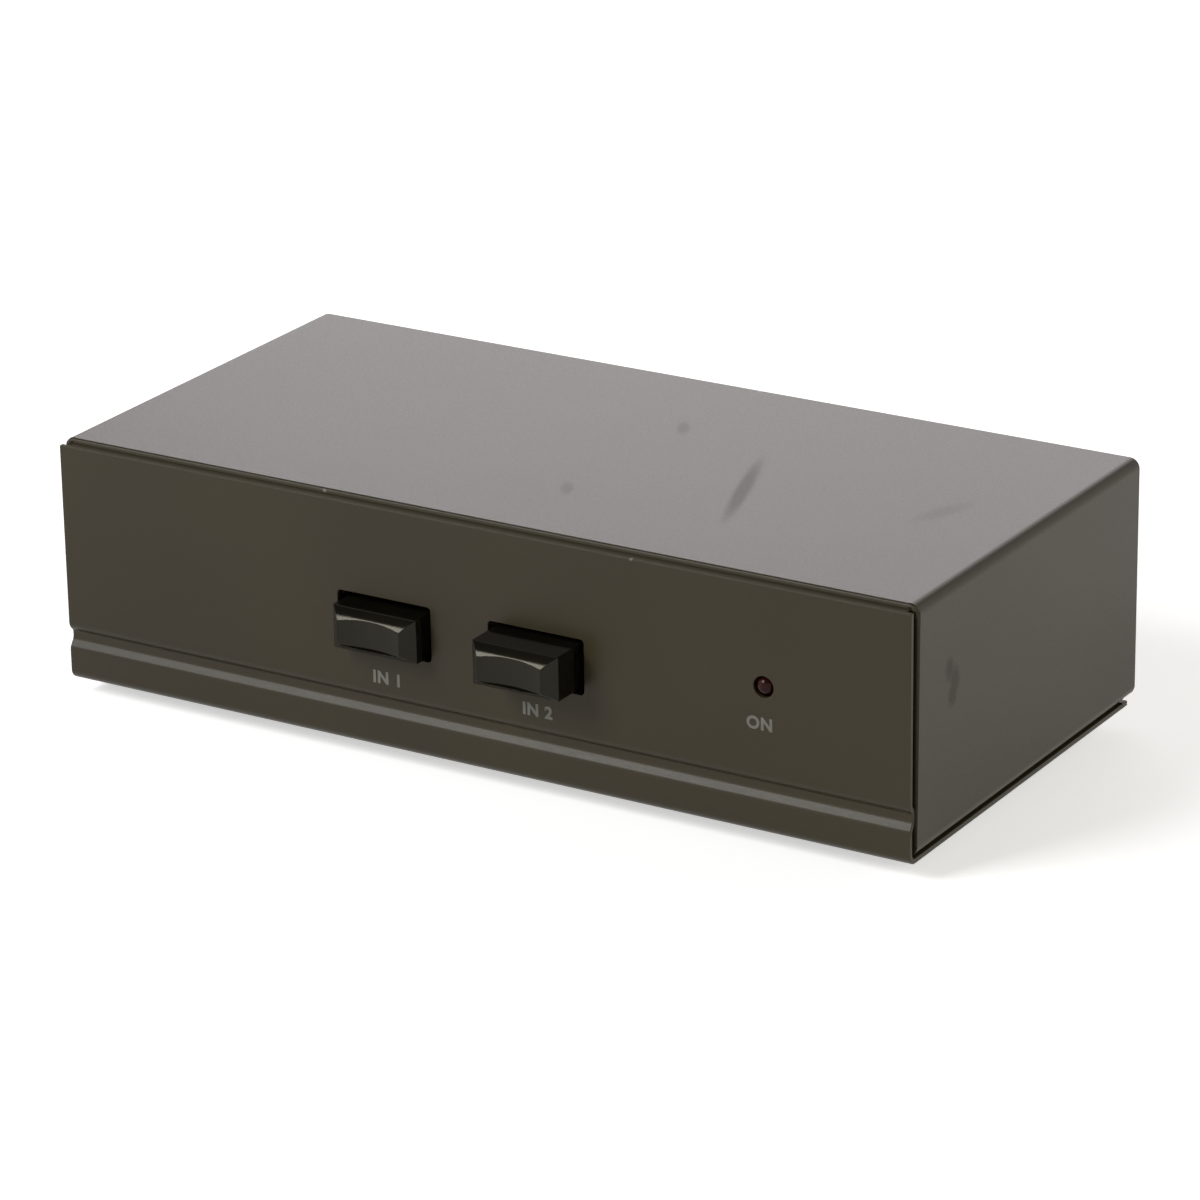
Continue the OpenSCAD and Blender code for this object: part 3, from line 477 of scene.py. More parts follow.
enamel = surface(
    "olive_enamel",
    srgb(52, 46, 31),
    srgb(58, 51, 35),
    blotch=45 * MM,
    grain=0.35 * MM,
    gloss=(0.31, 0.39),
    relief=0.006 * MM,
)
dull(enamel, 0.24)
WEAR_AND_PAINTED_LIGHT = {
    "streak": dict(
        marks=(((28.2, -4.7, 41), (1.5, 15.8, 3), 18.7),),
        colour=srgb(40, 36, 29),
        roughness=0.6,
        strength=0.38,
    ),
    # Dust in the seam over the panel, dull and lighter; the lighter colour is also painted light that lifts
    # the seam's shade.
    "seam_dust_and_painted_light": dict(
        marks=(((0, -34.4, 40.45), (300, 1.6, 0.5), 0),),
        colour=srgb(78, 72, 58),
        roughness=0.8,
        strength=1.0,
    ),
    "spots": dict(
        marks=(((6.9, 14.5, 41), (1.3, 3.6, 3), 28), ((5.5, -16.5, 41), (1.2, 3.2, 3), 28)),
        colour=srgb(42, 38, 30),
        roughness=0.52,
        strength=0.3,
    ),
    "top_smudge": dict(
        marks=(((57.8, 1.0, 41), (2.2, 7.5, 3), -20),),
        colour=srgb(42, 38, 30),
        roughness=0.52,
        strength=0.18,
    ),
    "side_smudge": dict(
        marks=(
            ((72.5, -24.4, 28.5), (3, 1.5, 2.3), 0),
            ((72.5, -22.8, 26.4), (3, 1.7, 2.8), 0),
            ((72.5, -23.5, 24.4), (3, 1.6, 2.2), 0),
        ),
        colour=srgb(28, 25, 19),
        roughness=0.6,
        strength=0.5,
    ),
    "chips": dict(
        marks=(
            ((-25.5, -33.5, 40.6), (0.4, 0.4, 0.3), 0),
            ((27.5, -35.0, 40.1), (0.35, 0.4, 0.3), 0),
            ((8.5, 34.9, 41), (0.7, 0.5, 0.5), 0),
        ),
        colour=srgb(150, 146, 138),
        roughness=0.4,
        strength=0.7,
    ),
}
for mark_set in WEAR_AND_PAINTED_LIGHT.values():
    mark_finish(enamel, **mark_set)

case_front = flat_sheet("folded_chassis", chassis_low, Vector((half_width, rear_y)), floor_z)
groove_floor = GROOVE_HIGH - GROOVE_HIGH_SLOPE - GROOVE_LOW - GROOVE_LOW_SLOPE
fold(
    case_front,
    lambda middle, way: near(middle.y, front_y),
    (
        (0, 0, GROOVE_LOW),
        (0, GROOVE_DEPTH, GROOVE_LOW_SLOPE),
        (0, 0, groove_floor),
        (0, -GROOVE_DEPTH, GROOVE_HIGH_SLOPE),
        (0, 0, lip_z - floor_z - GROOVE_HIGH),
        (0, FLANGE, 0),
    ),
)
fold(
    case_front,
    lambda middle, way: near(middle.y, rear_y) and near(middle.z, floor_z),
    ((0, 0, lip_z - floor_z), (0, -FLANGE, 0)),
)
for y, z, bend in (
    (front_y, floor_z, FOOT_BEND),
    (front_y, floor_z + GROOVE_LOW, GROOVE_BEND),
    (front_y + GROOVE_DEPTH, floor_z + GROOVE_LOW + GROOVE_LOW_SLOPE, GROOVE_BEND),
    (front_y + GROOVE_DEPTH, floor_z + GROOVE_HIGH - GROOVE_HIGH_SLOPE, GROOVE_BEND),
    (front_y, floor_z + GROOVE_HIGH, GROOVE_BROW),
    (rear_y, floor_z, PANEL_BEND),
    (rear_y, lip_z, PANEL_BEND),
):
    round_folds(case_front, lambda middle, way: near(middle.y, y) and near(middle.z, z), bend, BEND_STEPS)
pick(case_front, "FACE", lambda middle, normal: True)
bpy.ops.mesh.flip_normals()
thicken(case_front)
round_folds(
    case_front,
    lambda middle, way: near(middle.y, front_y) and near(middle.z, lip_z),
    LIP_BEND,
    EDGE_STEPS,
)

for cap in (aux_cap, phono_cap):
    opening = block(
        "opening",
        (cap.x - CUTOUT[0] / 2, front_y - PAST, phono_cap.z - CUTOUT[1] / 2),
        (cap.x + CUTOUT[0] / 2, front_y + PAST, phono_cap.z + CUTOUT[1] / 2),
    )
    round_folds(opening, lambda middle, way: abs(way.y) > MOSTLY, CUTOUT_CORNER, CORNER_STEPS)
    cut(case_front, opening)
drill(
    case_front,
    LAMP_HOLE_R,
    (lamp_place.x, front_y - PAST, lamp_place.z),
    (lamp_place.x, front_y + PAST, lamp_place.z),
)
rear_holes = [(x + side * JACK_PITCH / 2, JACK_HOLE_R) for x in block_places for side in (-1, 1)]
rear_holes += [(x, SCREW_R) for x in block_places]
rear_holes += [(stud_x, STUD_R), (inlet_x, INLET_HOLE_R)]
for x, radius in rear_holes:
    drill(case_front, radius, (x, rear_y - PAST, jack_z), (x, rear_y + PAST, jack_z))
cover_screw_places = corners_of("cover_screws", COVER_SCREW_HEAD_R)
spacer_places = corners_of("board_spacers", SPACER_R)
floor_holes = [(place, SCREW_R) for place in cover_screw_places]
floor_holes += [(place, SPIGOT_R) for place in spacer_places]
for (x, y), radius in floor_holes:
    drill(case_front, radius, (x, y, floor_z - PAST), (x, y, floor_z + PAST))


def trim(side, inset, y_span, z_span):
    """Takes a strip off one side of the chassis, from an inset outwards."""
    x_span = sorted((side * (half_width - inset), side * (half_width + PAST)))
    cut(case_front, block("strip", *zip(x_span, y_span, z_span)))


flange_span = (lip_z - 2 * SHEET, lip_z + PAST)
for side in (-1, 1):
    trim(side, REAR_SIDE_GAP, (rear_y - PANEL_BEND, rear_y + PAST), (floor_z - PAST, lip_z + PAST))
    trim(side, REAR_SIDE_GAP, (rear_y - FLANGE - PAST, rear_y), flange_span)
    trim(side, FLANGE_SIDE_GAP, (front_y + SHEET, front_y + FLANGE + PAST), flange_span)
    trim(side, RELIEF[0], (rear_y - RELIEF[1], rear_y + PAST), (floor_z - PAST, floor_z + RELIEF[2]))
    x_span = sorted((side * (half_width - FLAT_CORNER), side * half_width))
    y_span = (rear_y - 2 * PANEL_BEND, chassis_high.y)
    flat_corner = block("flat_corner", *zip(x_span, y_span, (floor_z, floor_z + SHEET)))
    cut(case_front, flat_corner, "UNION")
soften(case_front, SHEET_EDGE)
hand_over(case_front, enamel, "case", "case_paint", "chassis")

# Printed marks: plain pale-grey words and letters, screen printed on the two panels before assembly.
# Each is a film of ink a few hundredths of a millimetre thick. Their places are x and z in millimetres.
INK = 0.03 * MM
LETTER_WEIGHT = 0.04
LETTER_SPACE = 1.1
FRONT_LETTER = 2.0 * MM
REAR_LETTER = 1.9 * MM
FACE_FRONT = (math.pi / 2, 0, 0)
FACE_REAR = (math.pi / 2, 0, math.pi)
FRONT_WORDS = (("IN 1", -14.3, 13.8), ("IN 2", 11.5, 13.9), ("ON", 48.3, 19.3))
REAR_WORDS = (
    ("GND", -58.5, 30.0),
    ("IN 2", -33.0, 30.0),
    ("IN 1", 0.0, 30.0),
    ("OUT", 33.0, 30.0),
    ("DC", 58.5, 30.0),
)
SIDE_LETTERS = (("L", 7.5), ("R", -7.5))
SIDE_LETTER_Z = 14.6
pale_ink = surface(
    "pale_ink", srgb(104, 102, 94), srgb(116, 114, 106), 3 * MM, 0.12 * MM, (0.45, 0.6), 0.003 * MM
)


def joined(name, pieces):
    """Several shapes made into one piece."""
    leave_edit()
    for piece in pieces:
        piece.select_set(True)
    bpy.context.view_layer.objects.active = pieces[0]
    bpy.ops.object.join()
    return settle(pieces[0], name)


def printed_word(words, place, height, turn):
    """A word in ink, with its capitals at that height and its middle at that place."""
    leave_edit()
    bpy.ops.object.text_add()
    text = bpy.context.object
    text.data.body = words
    text.data.size = 1
    text.data.offset = LETTER_WEIGHT
    text.data.extrude = INK
    text.data.space_character = LETTER_SPACE
    text.data.align_x = "CENTER"
    text.data.align_y = "CENTER"
    bpy.ops.object.convert(target="MESH")
    word = bpy.context.object
    scale = height / word.dimensions.y
    word.scale = (scale, scale, 1)
    word.location = place
    word.rotation_euler = turn
    return settle(word, "word")


front_marks = joined(
    "front_marks",
    [
        printed_word(words, (x * MM, front_y + TINY, z * MM), FRONT_LETTER, FACE_FRONT)
        for words, x, z in FRONT_WORDS
    ],
)
rear_words = [
    printed_word(words, (x * MM, rear_y - TINY, z * MM), REAR_LETTER, FACE_REAR)
    for words, x, z in REAR_WORDS
]
for block_x in block_places:
    for letter, dx in SIDE_LETTERS:
        place = (block_x + dx * MM, rear_y - TINY, SIDE_LETTER_Z * MM)
        rear_words.append(printed_word(letter, place, REAR_LETTER, FACE_REAR))
rear_marks = joined("rear_marks", rear_words)
for marks in (front_marks, rear_marks):
    marks.data.materials.append(pale_ink)
    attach(marks, "case")

# Circuit board: brown bonded-paper laminate on four brass spacers, with the small parts of the two
# amplifier stages and the supply set in from above and soldered. The case hides all but the spacers' ends.


def dress(material, *names):
    """Gives CAD pieces that keep their own mesh a finish."""
    for name in names:
        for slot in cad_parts[name].material_slots:
            slot.material = material


laminate = surface(
    "brown_laminate", srgb(122, 92, 50), srgb(146, 112, 64), 6 * MM, 0.25 * MM, (0.4, 0.6), 0.01 * MM,
    stretch=(6, 1, 1),
)
turned_brass = surface(
    "turned_brass", srgb(176, 142, 66), srgb(196, 164, 88), 4 * MM, 0.15 * MM, (0.22, 0.36), 0.002 * MM,
    metal=1.0,
)
bright_zinc = surface(
    "bright_zinc", srgb(176, 180, 184), srgb(198, 201, 204), 5 * MM, 0.2 * MM, (0.25, 0.42), 0.003 * MM,
    metal=1.0,
)
moulded_chip = surface(
    "moulded_chip", srgb(24, 25, 27), srgb(31, 32, 34), 3 * MM, 0.12 * MM, (0.5, 0.7), 0.006 * MM
)
blue_sleeve = surface(
    "blue_sleeve", srgb(28, 40, 66), srgb(36, 50, 80), 5 * MM, 0.3 * MM, (0.22, 0.34), 0.004 * MM
)
amber_resin = surface(
    "amber_resin", srgb(158, 124, 38), srgb(180, 146, 56), 2 * MM, 0.3 * MM, (0.3, 0.45), 0.01 * MM
)
tan_lacquer = surface(
    "tan_lacquer", srgb(176, 146, 106), srgb(194, 166, 126), 1.5 * MM, 0.2 * MM, (0.35, 0.5), 0.005 * MM
)
dress(laminate, "circuit_board")
dress(turned_brass, "board_spacers")
dress(bright_zinc, "board_screws")
dress(moulded_chip, "phono_chip", "line_chip", "regulator", "input_diode")
dress(blue_sleeve, "supply_capacitors", "signal_capacitors")
dress(amber_resin, "film_capacitors")
dress(tan_lacquer, "resistors")

# Rear sockets: three black moulded blocks behind the rear panel, each with two nickel-plated turned
# sleeves, a white and a red insert, a contact behind each, and one black screw through the panel.
SLEEVE_R = 4.15 * MM
SLEEVE_SEAT_R = 3.9 * MM
SLEEVE_INNER_R = 3.4 * MM
SLEEVE_LIP = 0.35 * MM
COLLAR_PROUD = 0.2 * MM
PIN_R = 0.5 * MM
INSERT_BORE_R = 1.65 * MM
INSERT_RECESS = 0.5 * MM
INSERT_FLARE = 0.45 * MM
INSERT_GAP = 0.01 * MM
SOCKET_EDGE = 0.08 * MM
JACK_SCREW_HEAD_R = 2.4 * MM
JACK_SCREW_LEN = 7.0 * MM
SCREW_POINT, SCREW_POINT_LEN = 0.25 * MM, 0.4 * MM
HEAD_H = 1.7 * MM
HEAD_CURVE = ((1, 0.55), (0.95, 0.78), (0.8, 0.94), (0.55, 1))
CROSS = (3.0 * MM, 0.7 * MM, 0.9 * MM)


def traced(outline):
    """A wire drawn from point to point, left open for editing with all of it selected."""
    leave_edit()
    bpy.ops.mesh.primitive_plane_add(size=1)
    bpy.ops.object.mode_set(mode="EDIT")
    bpy.ops.mesh.select_mode(type="VERT")
    bpy.ops.mesh.select_all(action="SELECT")
    bpy.ops.mesh.merge(type="CENTER")
    bpy.ops.transform.translate(value=outline[0])
    for here, there in zip(outline, outline[1:]):
        step = Vector(there) - Vector(here)
        bpy.ops.mesh.extrude_vertices_move(TRANSFORM_OT_translate={"value": step})
    bpy.ops.mesh.select_all(action="SELECT")
    return bpy.context.object


def turned(name, outline, place=(0, 0, 0), turn=(0, 0, 0), steps=64):
    """A piece spun from an outline of (radius, height) points, then turned and put in its place."""
    piece = traced([(radius, 0, height) for radius, height in outline])
    bpy.ops.mesh.spin(steps=steps, angle=math.tau, center=(0, 0, 0), axis=(0, 0, 1))
    bpy.ops.mesh.select_all(action="SELECT")
    bpy.ops.mesh.remove_doubles(threshold=TINY)
    bpy.ops.mesh.normals_make_consistent(inside=False)
    bpy.ops.object.mode_set(mode="OBJECT")
    piece.location = place
    piece.rotation_euler = turn
    return settle(piece, name)


def copies(master, places, turn=(0, 0, 0)):
    """Copies of a shape that was modelled at the origin, each turned and put in its place."""
    made = []
    for place in places:
        leave_edit()
        master.select_set(True)
        bpy.context.view_layer.objects.active = master
        bpy.ops.object.duplicate()
        bpy.context.object.location = place
        bpy.context.object.rotation_euler = turn
        made.append(settle(bpy.context.object, "copy"))
    bpy.data.objects.remove(master)
    return made


def pan_screw(head_r, length):
    """A pan-head screw at the origin, its crossed head upwards and its shank below."""
    screw = turned(
        "pan_screw",
        (
            (0, -length),
            (SCREW_R - SCREW_POINT, -length),
            (SCREW_R, -length + SCREW_POINT_LEN),
            (SCREW_R, 0),
            (head_r, 0),
            *((out * head_r, up * HEAD_H) for out, up in HEAD_CURVE),
            (0, HEAD_H),
        ),
        steps=48,
    )
    long, wide, deep = CROSS
    for x, y in ((long, wide), (wide, long)):
        cut(screw, block("cross", (-x / 2, -y / 2, HEAD_H - deep), (x / 2, y / 2, HEAD_H + deep)))
    soften(screw, SOCKET_EDGE)
    return screw


nickel = surface(
    "nickel_plate", srgb(190, 188, 182), srgb(206, 204, 199), 6 * MM, 0.1 * MM, (0.16, 0.3), 0.0015 * MM,
    metal=1.0, stretch=(1, 12, 1),
)
white_plastic = surface(
    "white_plastic", srgb(222, 220, 212), srgb(232, 230, 223), 4 * MM, 0.2 * MM, (0.3, 0.42), 0.003 * MM
)
red_plastic = surface(
    "red_plastic", srgb(150, 22, 20), srgb(166, 28, 25), 4 * MM, 0.2 * MM, (0.3, 0.42), 0.003 * MM
)
black_plastic = surface(
    "black_plastic", srgb(22, 22, 23), srgb(28, 28, 29), 5 * MM, 0.15 * MM, (0.4, 0.55), 0.006 * MM
)
black_oxide = surface(
    "black_oxide", srgb(36, 35, 34), srgb(50, 49, 47), 1.5 * MM, 0.1 * MM, (0.32, 0.5), 0.004 * MM,
    metal=0.6,
)
dress(black_plastic, "phono_jack_block", "aux_jack_block", "output_jack_block")
dress(turned_brass, "jack_centre_contacts")

sleeve_low, sleeve_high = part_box("phono_jack_sleeves")
seat_y, mouth_y, pin_z = sleeve_low.y, sleeve_high.y, sleeve_low.z
sleeve_len = mouth_y - seat_y
shoulder = rear_y + COLLAR_PROUD - seat_y
for use, block_x in zip(("phono", "aux", "output"), block_places):
    sleeve = turned(
        "sleeve",
        (
            (SLEEVE_INNER_R, 0),
            (SLEEVE_SEAT_R, 0),
            (SLEEVE_SEAT_R, shoulder),
            (SLEEVE_R, shoulder),
            (SLEEVE_R, sleeve_len - SLEEVE_LIP),
            (SLEEVE_R - SLEEVE_LIP, sleeve_len),
            (SLEEVE_INNER_R, sleeve_len),
            (SLEEVE_INNER_R, 0),
        ),
    )
    soften(sleeve, SOCKET_EDGE, segments=3)
    sides = [block_x - JACK_PITCH / 2, block_x + JACK_PITCH / 2]
    parts = copies(sleeve, [(x, seat_y, jack_z) for x in sides], TO_REAR)
    for x in sides:
        parts.append(
            turned(
                "solder_pin",
                (
                    (0, pin_z),
                    (PIN_R / 2, pin_z),
                    (PIN_R, pin_z + PIN_R),
                    (PIN_R, jack_z - SLEEVE_INNER_R),
                    (0, jack_z - SLEEVE_INNER_R),
                ),
                (x, (seat_y + rear_y - SHEET) / 2, 0),
                steps=20,
            )
        )
    hand_over(joined(f"{use}_plated_sleeves", parts), nickel, "case", "nickel", f"{use}_jack_sleeves")

insert_len = sleeve_len - INSERT_RECESS
for side, name, plastic, slot in (
    (1, "left", white_plastic, "white_insert"),
    (-1, "right", red_plastic, "red_insert"),
):
    insert = turned(
        "insert",
        (
            (INSERT_BORE_R, 0),
            (SLEEVE_INNER_R - INSERT_GAP, 0),
            (SLEEVE_INNER_R - INSERT_GAP, insert_len),
            (INSERT_BORE_R + INSERT_FLARE, insert_len),
            (INSERT_BORE_R, insert_len - INSERT_FLARE),
            (INSERT_BORE_R, 0),
        ),
    )
    soften(insert, SOCKET_EDGE)
    places = [(x + side * JACK_PITCH / 2, seat_y, jack_z) for x in block_places]
    inserts = joined(f"{name}_moulded_inserts", copies(insert, places, TO_REAR))
    hand_over(inserts, plastic, "case", slot, f"{name}_jack_inserts")

jack_screws = copies(
    pan_screw(JACK_SCREW_HEAD_R, JACK_SCREW_LEN), [(x, rear_y, jack_z) for x in block_places], TO_REAR
)
hand_over(joined("socket_pan_screws", jack_screws), black_oxide, "case", "black_screw", "jack_screws")

# Ground terminal: a brass stud with its head inside, locked by a hexagon nut, with a loose washer and a
# knurled thumb nut that clamp a bare wire. The thread has a pitch of 0.7 mm.
PITCH = 0.7 * MM
THREAD_DEPTH = 0.4 * MM
HEX_R = 4.04 * MM
HEX_FACE_R = 3.5 * MM
HEX_CHAMFER = math.radians(30)
WASHER_HOLE_R = 2.15 * MM
NUT_BORE_R = 2.05 * MM
NUT_NECK_R = 3.3 * MM
NUT_NECK = 1.0 * MM
NUT_LOW_CHAMFER, NUT_CHAMFER = 0.3 * MM, 0.4 * MM
KNURLS = 24
KNURL_R = 0.35 * MM
KNURL_OUT = 0.1 * MM
TERMINAL_EDGE = 0.1 * MM
THREAD_EDGE = 0.04 * MM
KNURL_EDGE = 0.05 * MM


def hexagon(name, height):
    """A hexagon blank at the origin with its corners turned off at both ends."""
    leave_edit()
    bpy.ops.mesh.primitive_cylinder_add(vertices=6, radius=HEX_R, depth=height, location=(0, 0, height / 2))
    blank = settle(bpy.context.object, name)
    corner = (HEX_R - HEX_FACE_R) * math.tan(HEX_CHAMFER)
    turned_off = turned(
        "turned_off",
        (
            (0, 0),
            (HEX_FACE_R, 0),
            (HEX_R + TINY, corner),
            (HEX_R + TINY, height - corner),
            (HEX_FACE_R, height),
            (0, height),
        ),
        steps=96,
    )
    cut(blank, turned_off, "INTERSECT")
    return blank


terminal_low, terminal_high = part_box("ground_stud")
lock_low, lock_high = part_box("ground_lock_nut")
head_h = rear_y - SHEET - terminal_low.y
thread = [(0, 0), (STUD_R, 0)]
height = lock_high.y - terminal_low.y
thread_end = terminal_high.y - terminal_low.y
while height + PITCH < thread_end:
    thread += [(STUD_R, height + 0.1 * PITCH), (STUD_R - THREAD_DEPTH, height + 0.5 * PITCH)]
    thread.append((STUD_R, height + 0.9 * PITCH))
    height += PITCH
thread += [(STUD_R - THREAD_DEPTH, thread_end), (0, thread_end)]
stud = turned("threaded_stud", thread, (stud_x, terminal_low.y, jack_z), TO_REAR, steps=48)
stud_head = hexagon("stud_head", head_h)
stud = joined("threaded_stud", [stud, *copies(stud_head, [(stud_x, terminal_low.y, jack_z)], TO_REAR)])
soften(stud, THREAD_EDGE)
hand_over(stud, turned_brass, "case", "terminal_metal", "ground_stud")

lock_nut = hexagon("lock_nut", lock_high.y - lock_low.y)
drill(lock_nut, STUD_R, (0, 0, -PAST), (0, 0, PAST))
soften(lock_nut, TERMINAL_EDGE)
lock_nut = joined("hexagon_lock_nut", copies(lock_nut, [(stud_x, lock_low.y, jack_z)], TO_REAR))
hand_over(lock_nut, nickel, "case", "nickel", "ground_lock_nut")

washer_low, washer_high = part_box("ground_washer")
washer_r = (washer_high.x - washer_low.x) / 2
washer_t = washer_high.y - washer_low.y
washer = turned(
    "loose_washer",
    (
        (WASHER_HOLE_R, 0),
        (washer_r, 0),
        (washer_r, washer_t),
        (WASHER_HOLE_R, washer_t),
        (WASHER_HOLE_R, 0),
    ),
    (stud_x, washer_low.y, jack_z),
    TO_REAR,
)
soften(washer, TERMINAL_EDGE, segments=3)
hand_over(washer, nickel, "ground_clamp", "nickel", "ground_washer")

nut_low, nut_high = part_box("ground_nut")
nut_h = nut_high.y - nut_low.y
nut_r = (nut_high.x - nut_low.x) / 2
thumb_nut = turned(
    "thumb_nut",
    (
        (NUT_BORE_R, 0),
        (NUT_NECK_R, 0),
        (NUT_NECK_R, NUT_NECK),
        (nut_r - NUT_LOW_CHAMFER, NUT_NECK),
        (nut_r, NUT_NECK + NUT_LOW_CHAMFER),
        (nut_r, nut_h - NUT_CHAMFER),
        (nut_r - NUT_CHAMFER, nut_h),
        (NUT_BORE_R + NUT_CHAMFER, nut_h),
        (NUT_BORE_R, nut_h - NUT_CHAMFER),
        (NUT_BORE_R, 0),
    ),
    steps=96,
)
grooves = []
for step in range(KNURLS):
    angle = math.tau * step / KNURLS
    out = nut_r + KNURL_OUT
    leave_edit()
    bpy.ops.mesh.primitive_cylinder_add(
        vertices=16,
        radius=KNURL_R,
        depth=2 * nut_h,
        location=(out * math.cos(angle), out * math.sin(angle), nut_h / 2 + NUT_NECK),
    )
    grooves.append(settle(bpy.context.object, "groove"))
cut(thumb_nut, joined("grooves", grooves))
soften(thumb_nut, KNURL_EDGE)
thumb_nut = joined("knurled_thumb_nut", copies(thumb_nut, [(stud_x, nut_low.y, jack_z)], TO_REAR))
hand_over(thumb_nut, turned_brass, "ground_thumb_nut", "terminal_metal", "ground_nut")

# Power inlet: a black moulded barrel socket soldered to the board, its round nose in the rear panel,
# with a plated centre pin and a bent leaf that presses on the plug's barrel.
NOSE_R = 4.0 * MM
INLET_BORE_R = 3.0 * MM
INLET_DEPTH = 9.5 * MM
INLET_MOUTH = 0.35 * MM
PIN_HOLE_R = 1.0 * MM
LEAF_GAP = 0.2 * MM
INLET_EDGE = 0.12 * MM
inlet_low, inlet_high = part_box("power_jack_body")
inlet = block("barrel_inlet", inlet_low, (inlet_high.x, rear_y - SHEET, inlet_high.z))
nose_h = inlet_high.y - rear_y + SHEET
nose = turned(
    "nose",
    ((0, -SHEET), (NOSE_R, -SHEET), (NOSE_R, nose_h), (0, nose_h)),
    (inlet_x, rear_y - SHEET, jack_z),
    TO_REAR,
)
cut(inlet, nose, "UNION")
barrel = turned(
    "barrel",
    (
        (0, 0),
        (INLET_BORE_R, 0),
        (INLET_BORE_R, INLET_DEPTH - INLET_MOUTH),
        (INLET_BORE_R + INLET_MOUTH, INLET_DEPTH),
        (INLET_BORE_R + INLET_MOUTH, INLET_DEPTH + SHEET),
        (0, INLET_DEPTH + SHEET),
    ),
    (inlet_x, inlet_high.y - INLET_DEPTH, jack_z),
    TO_REAR,
)
cut(inlet, barrel)
drill(
    inlet,
    PIN_HOLE_R,
    (inlet_x, inlet_low.y - SHEET, jack_z),
    (inlet_x, inlet_high.y - INLET_DEPTH + SHEET, jack_z),
    vertices=32,
)
leaf_low, leaf_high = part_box("power_jack_leaf")
cut(
    inlet,
    block(
        "leaf_way",
        (leaf_low.x - LEAF_GAP, leaf_low.y, inlet_low.z - SHEET),
        (leaf_high.x + LEAF_GAP, leaf_high.y + LEAF_GAP, jack_z - INLET_BORE_R / 2),
    ),
)
soften(inlet, INLET_EDGE)
hand_over(inlet, black_plastic, "case", "black_plastic", "power_jack_body")
dress(nickel, "power_jack_pin", "power_jack_leaf")

# Push switch: two interlocked stations on a bent bracket. Pressing one button slides the latch plate
# aside and lets the other out. The bodies and plungers are moulded, the rest is plated steel.
WIRE_STEPS = 28
WIRE_SIDES = 12
RETURN_COIL = {"radius": 3.25 * MM, "wire": 0.25 * MM, "turns": 5}
LATCH_COIL = {"radius": 1.1 * MM, "wire": 0.15 * MM, "turns": 4}
TO_RIGHT = (0, math.pi / 2, 0)
spring_wire = surface(
    "spring_wire", srgb(150, 152, 156), srgb(172, 174, 178), 3 * MM, 0.1 * MM, (0.22, 0.36), 0.001 * MM,
    metal=1.0,
)
cream_plastic = surface(
    "cream_plastic", srgb(206, 201, 186), srgb(218, 214, 201), 6 * MM, 0.2 * MM, (0.35, 0.5), 0.004 * MM
)
slate_plastic = surface(
    "slate_plastic", srgb(38, 41, 45), srgb(46, 49, 53), 5 * MM, 0.2 * MM, (0.45, 0.6), 0.006 * MM
)
tinned_wire = surface(
    "tinned_wire", srgb(188, 186, 176), srgb(206, 204, 196), 2 * MM, 0.15 * MM, (0.28, 0.45), 0.002 * MM,
    metal=1.0,
)
dress(bright_zinc, "selector_bracket", "latch_plate")
dress(slate_plastic, "aux_switch_body", "phono_switch_body")
dress(cream_plastic, "aux_plunger", "phono_plunger")
dress(tinned_wire, "switch_terminals")


def coil(name, radius, wire, turns, length):
    """A coil spring of round wire, wound up the Z axis from the origin."""
    leave_edit()
    bpy.ops.mesh.primitive_circle_add(
        vertices=WIRE_SIDES, radius=wire, location=(radius, 0, wire), rotation=(math.pi / 2, 0, 0)
    )
    spring = settle(bpy.context.object, name)
    wind = spring.modifiers.new("wind", "SCREW")
    wind.axis = "Z"
    wind.angle = math.tau
    wind.iterations = turns
    wind.screw_offset = (length - 2 * wire) / turns
    wind.steps = wind.render_steps = WIRE_STEPS
    apply_all(spring)
    pick(spring, "FACE", lambda middle, normal: True)
    bpy.ops.mesh.remove_doubles(threshold=TINY)
    bpy.ops.mesh.fill_holes(sides=0)
    bpy.ops.mesh.normals_make_consistent(inside=False)
    leave_edit()
    spring.select_set(True)
    bpy.ops.object.shade_smooth()
    return spring


def set_spring(name, node, along, moving_body, turn, radius, wire, turns):
    """A coil spring in a CAD spring's place, wound along one of its axes."""
    low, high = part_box(node)
    middle = (low + high) / 2
    start, end = middle.copy(), middle.copy()
    start[along], end[along] = low[along], high[along]
    spring = joined(name, copies(coil(name, radius, wire, turns, (end - start).length), [start], turn))
    spring.data.materials.append(spring_wire)
    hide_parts(node)
    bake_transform(spring)


for station in ("aux", "phono"):
    set_spring(
        f"{station}_coil_spring",
        f"{station}_return_spring",
        1,
        f"{station}_station",
        TO_REAR,
        **RETURN_COIL,
    )
set_spring("latch_coil_spring", "latch_spring", 0, "latch", TO_RIGHT, **LATCH_COIL)

# Indicator lamp: a 3 mm red lamp, cast in tinted resin round its two leads, held by a black block on the
# board so that its dome just stands out of the round hole in the panel.
LENS_R = 1.5 * MM
LENS_RIM = 1.0 * MM
LENS_EDGE = 0.06 * MM
DOME_STEPS = 12
lens_low, lens_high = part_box("power_lamp")
lens_len = lens_high.y - lens_low.y
rim_r = (lens_high.x - lens_low.x) / 2
dome = [
    (LENS_R * math.sin(a), LENS_R * (1 - math.cos(a)))
    for a in (math.pi / 2 * i / DOME_STEPS for i in range(DOME_STEPS + 1))
]
lens = turned(
    "cast_lens",
    (
        *dome,
        (LENS_R, lens_len - LENS_RIM),
        (rim_r, lens_len - LENS_RIM),
        (rim_r, lens_len),
        (0, lens_len),
    ),
    (lamp_place.x, lens_low.y, lamp_place.z),
    TO_REAR,
    steps=48,
)
soften(lens, LENS_EDGE)
red_resin = surface(
    "red_resin", srgb(38, 10, 8), srgb(47, 13, 10), 1.2 * MM, 0.2 * MM, (0.08, 0.14), 0.001 * MM
)
dull(red_resin, 0.13)
hand_over(lens, red_resin, "case", "lamp_lens", "power_lamp")
dress(tinned_wire, "lamp_leads")
dress(black_plastic, "lamp_holder")

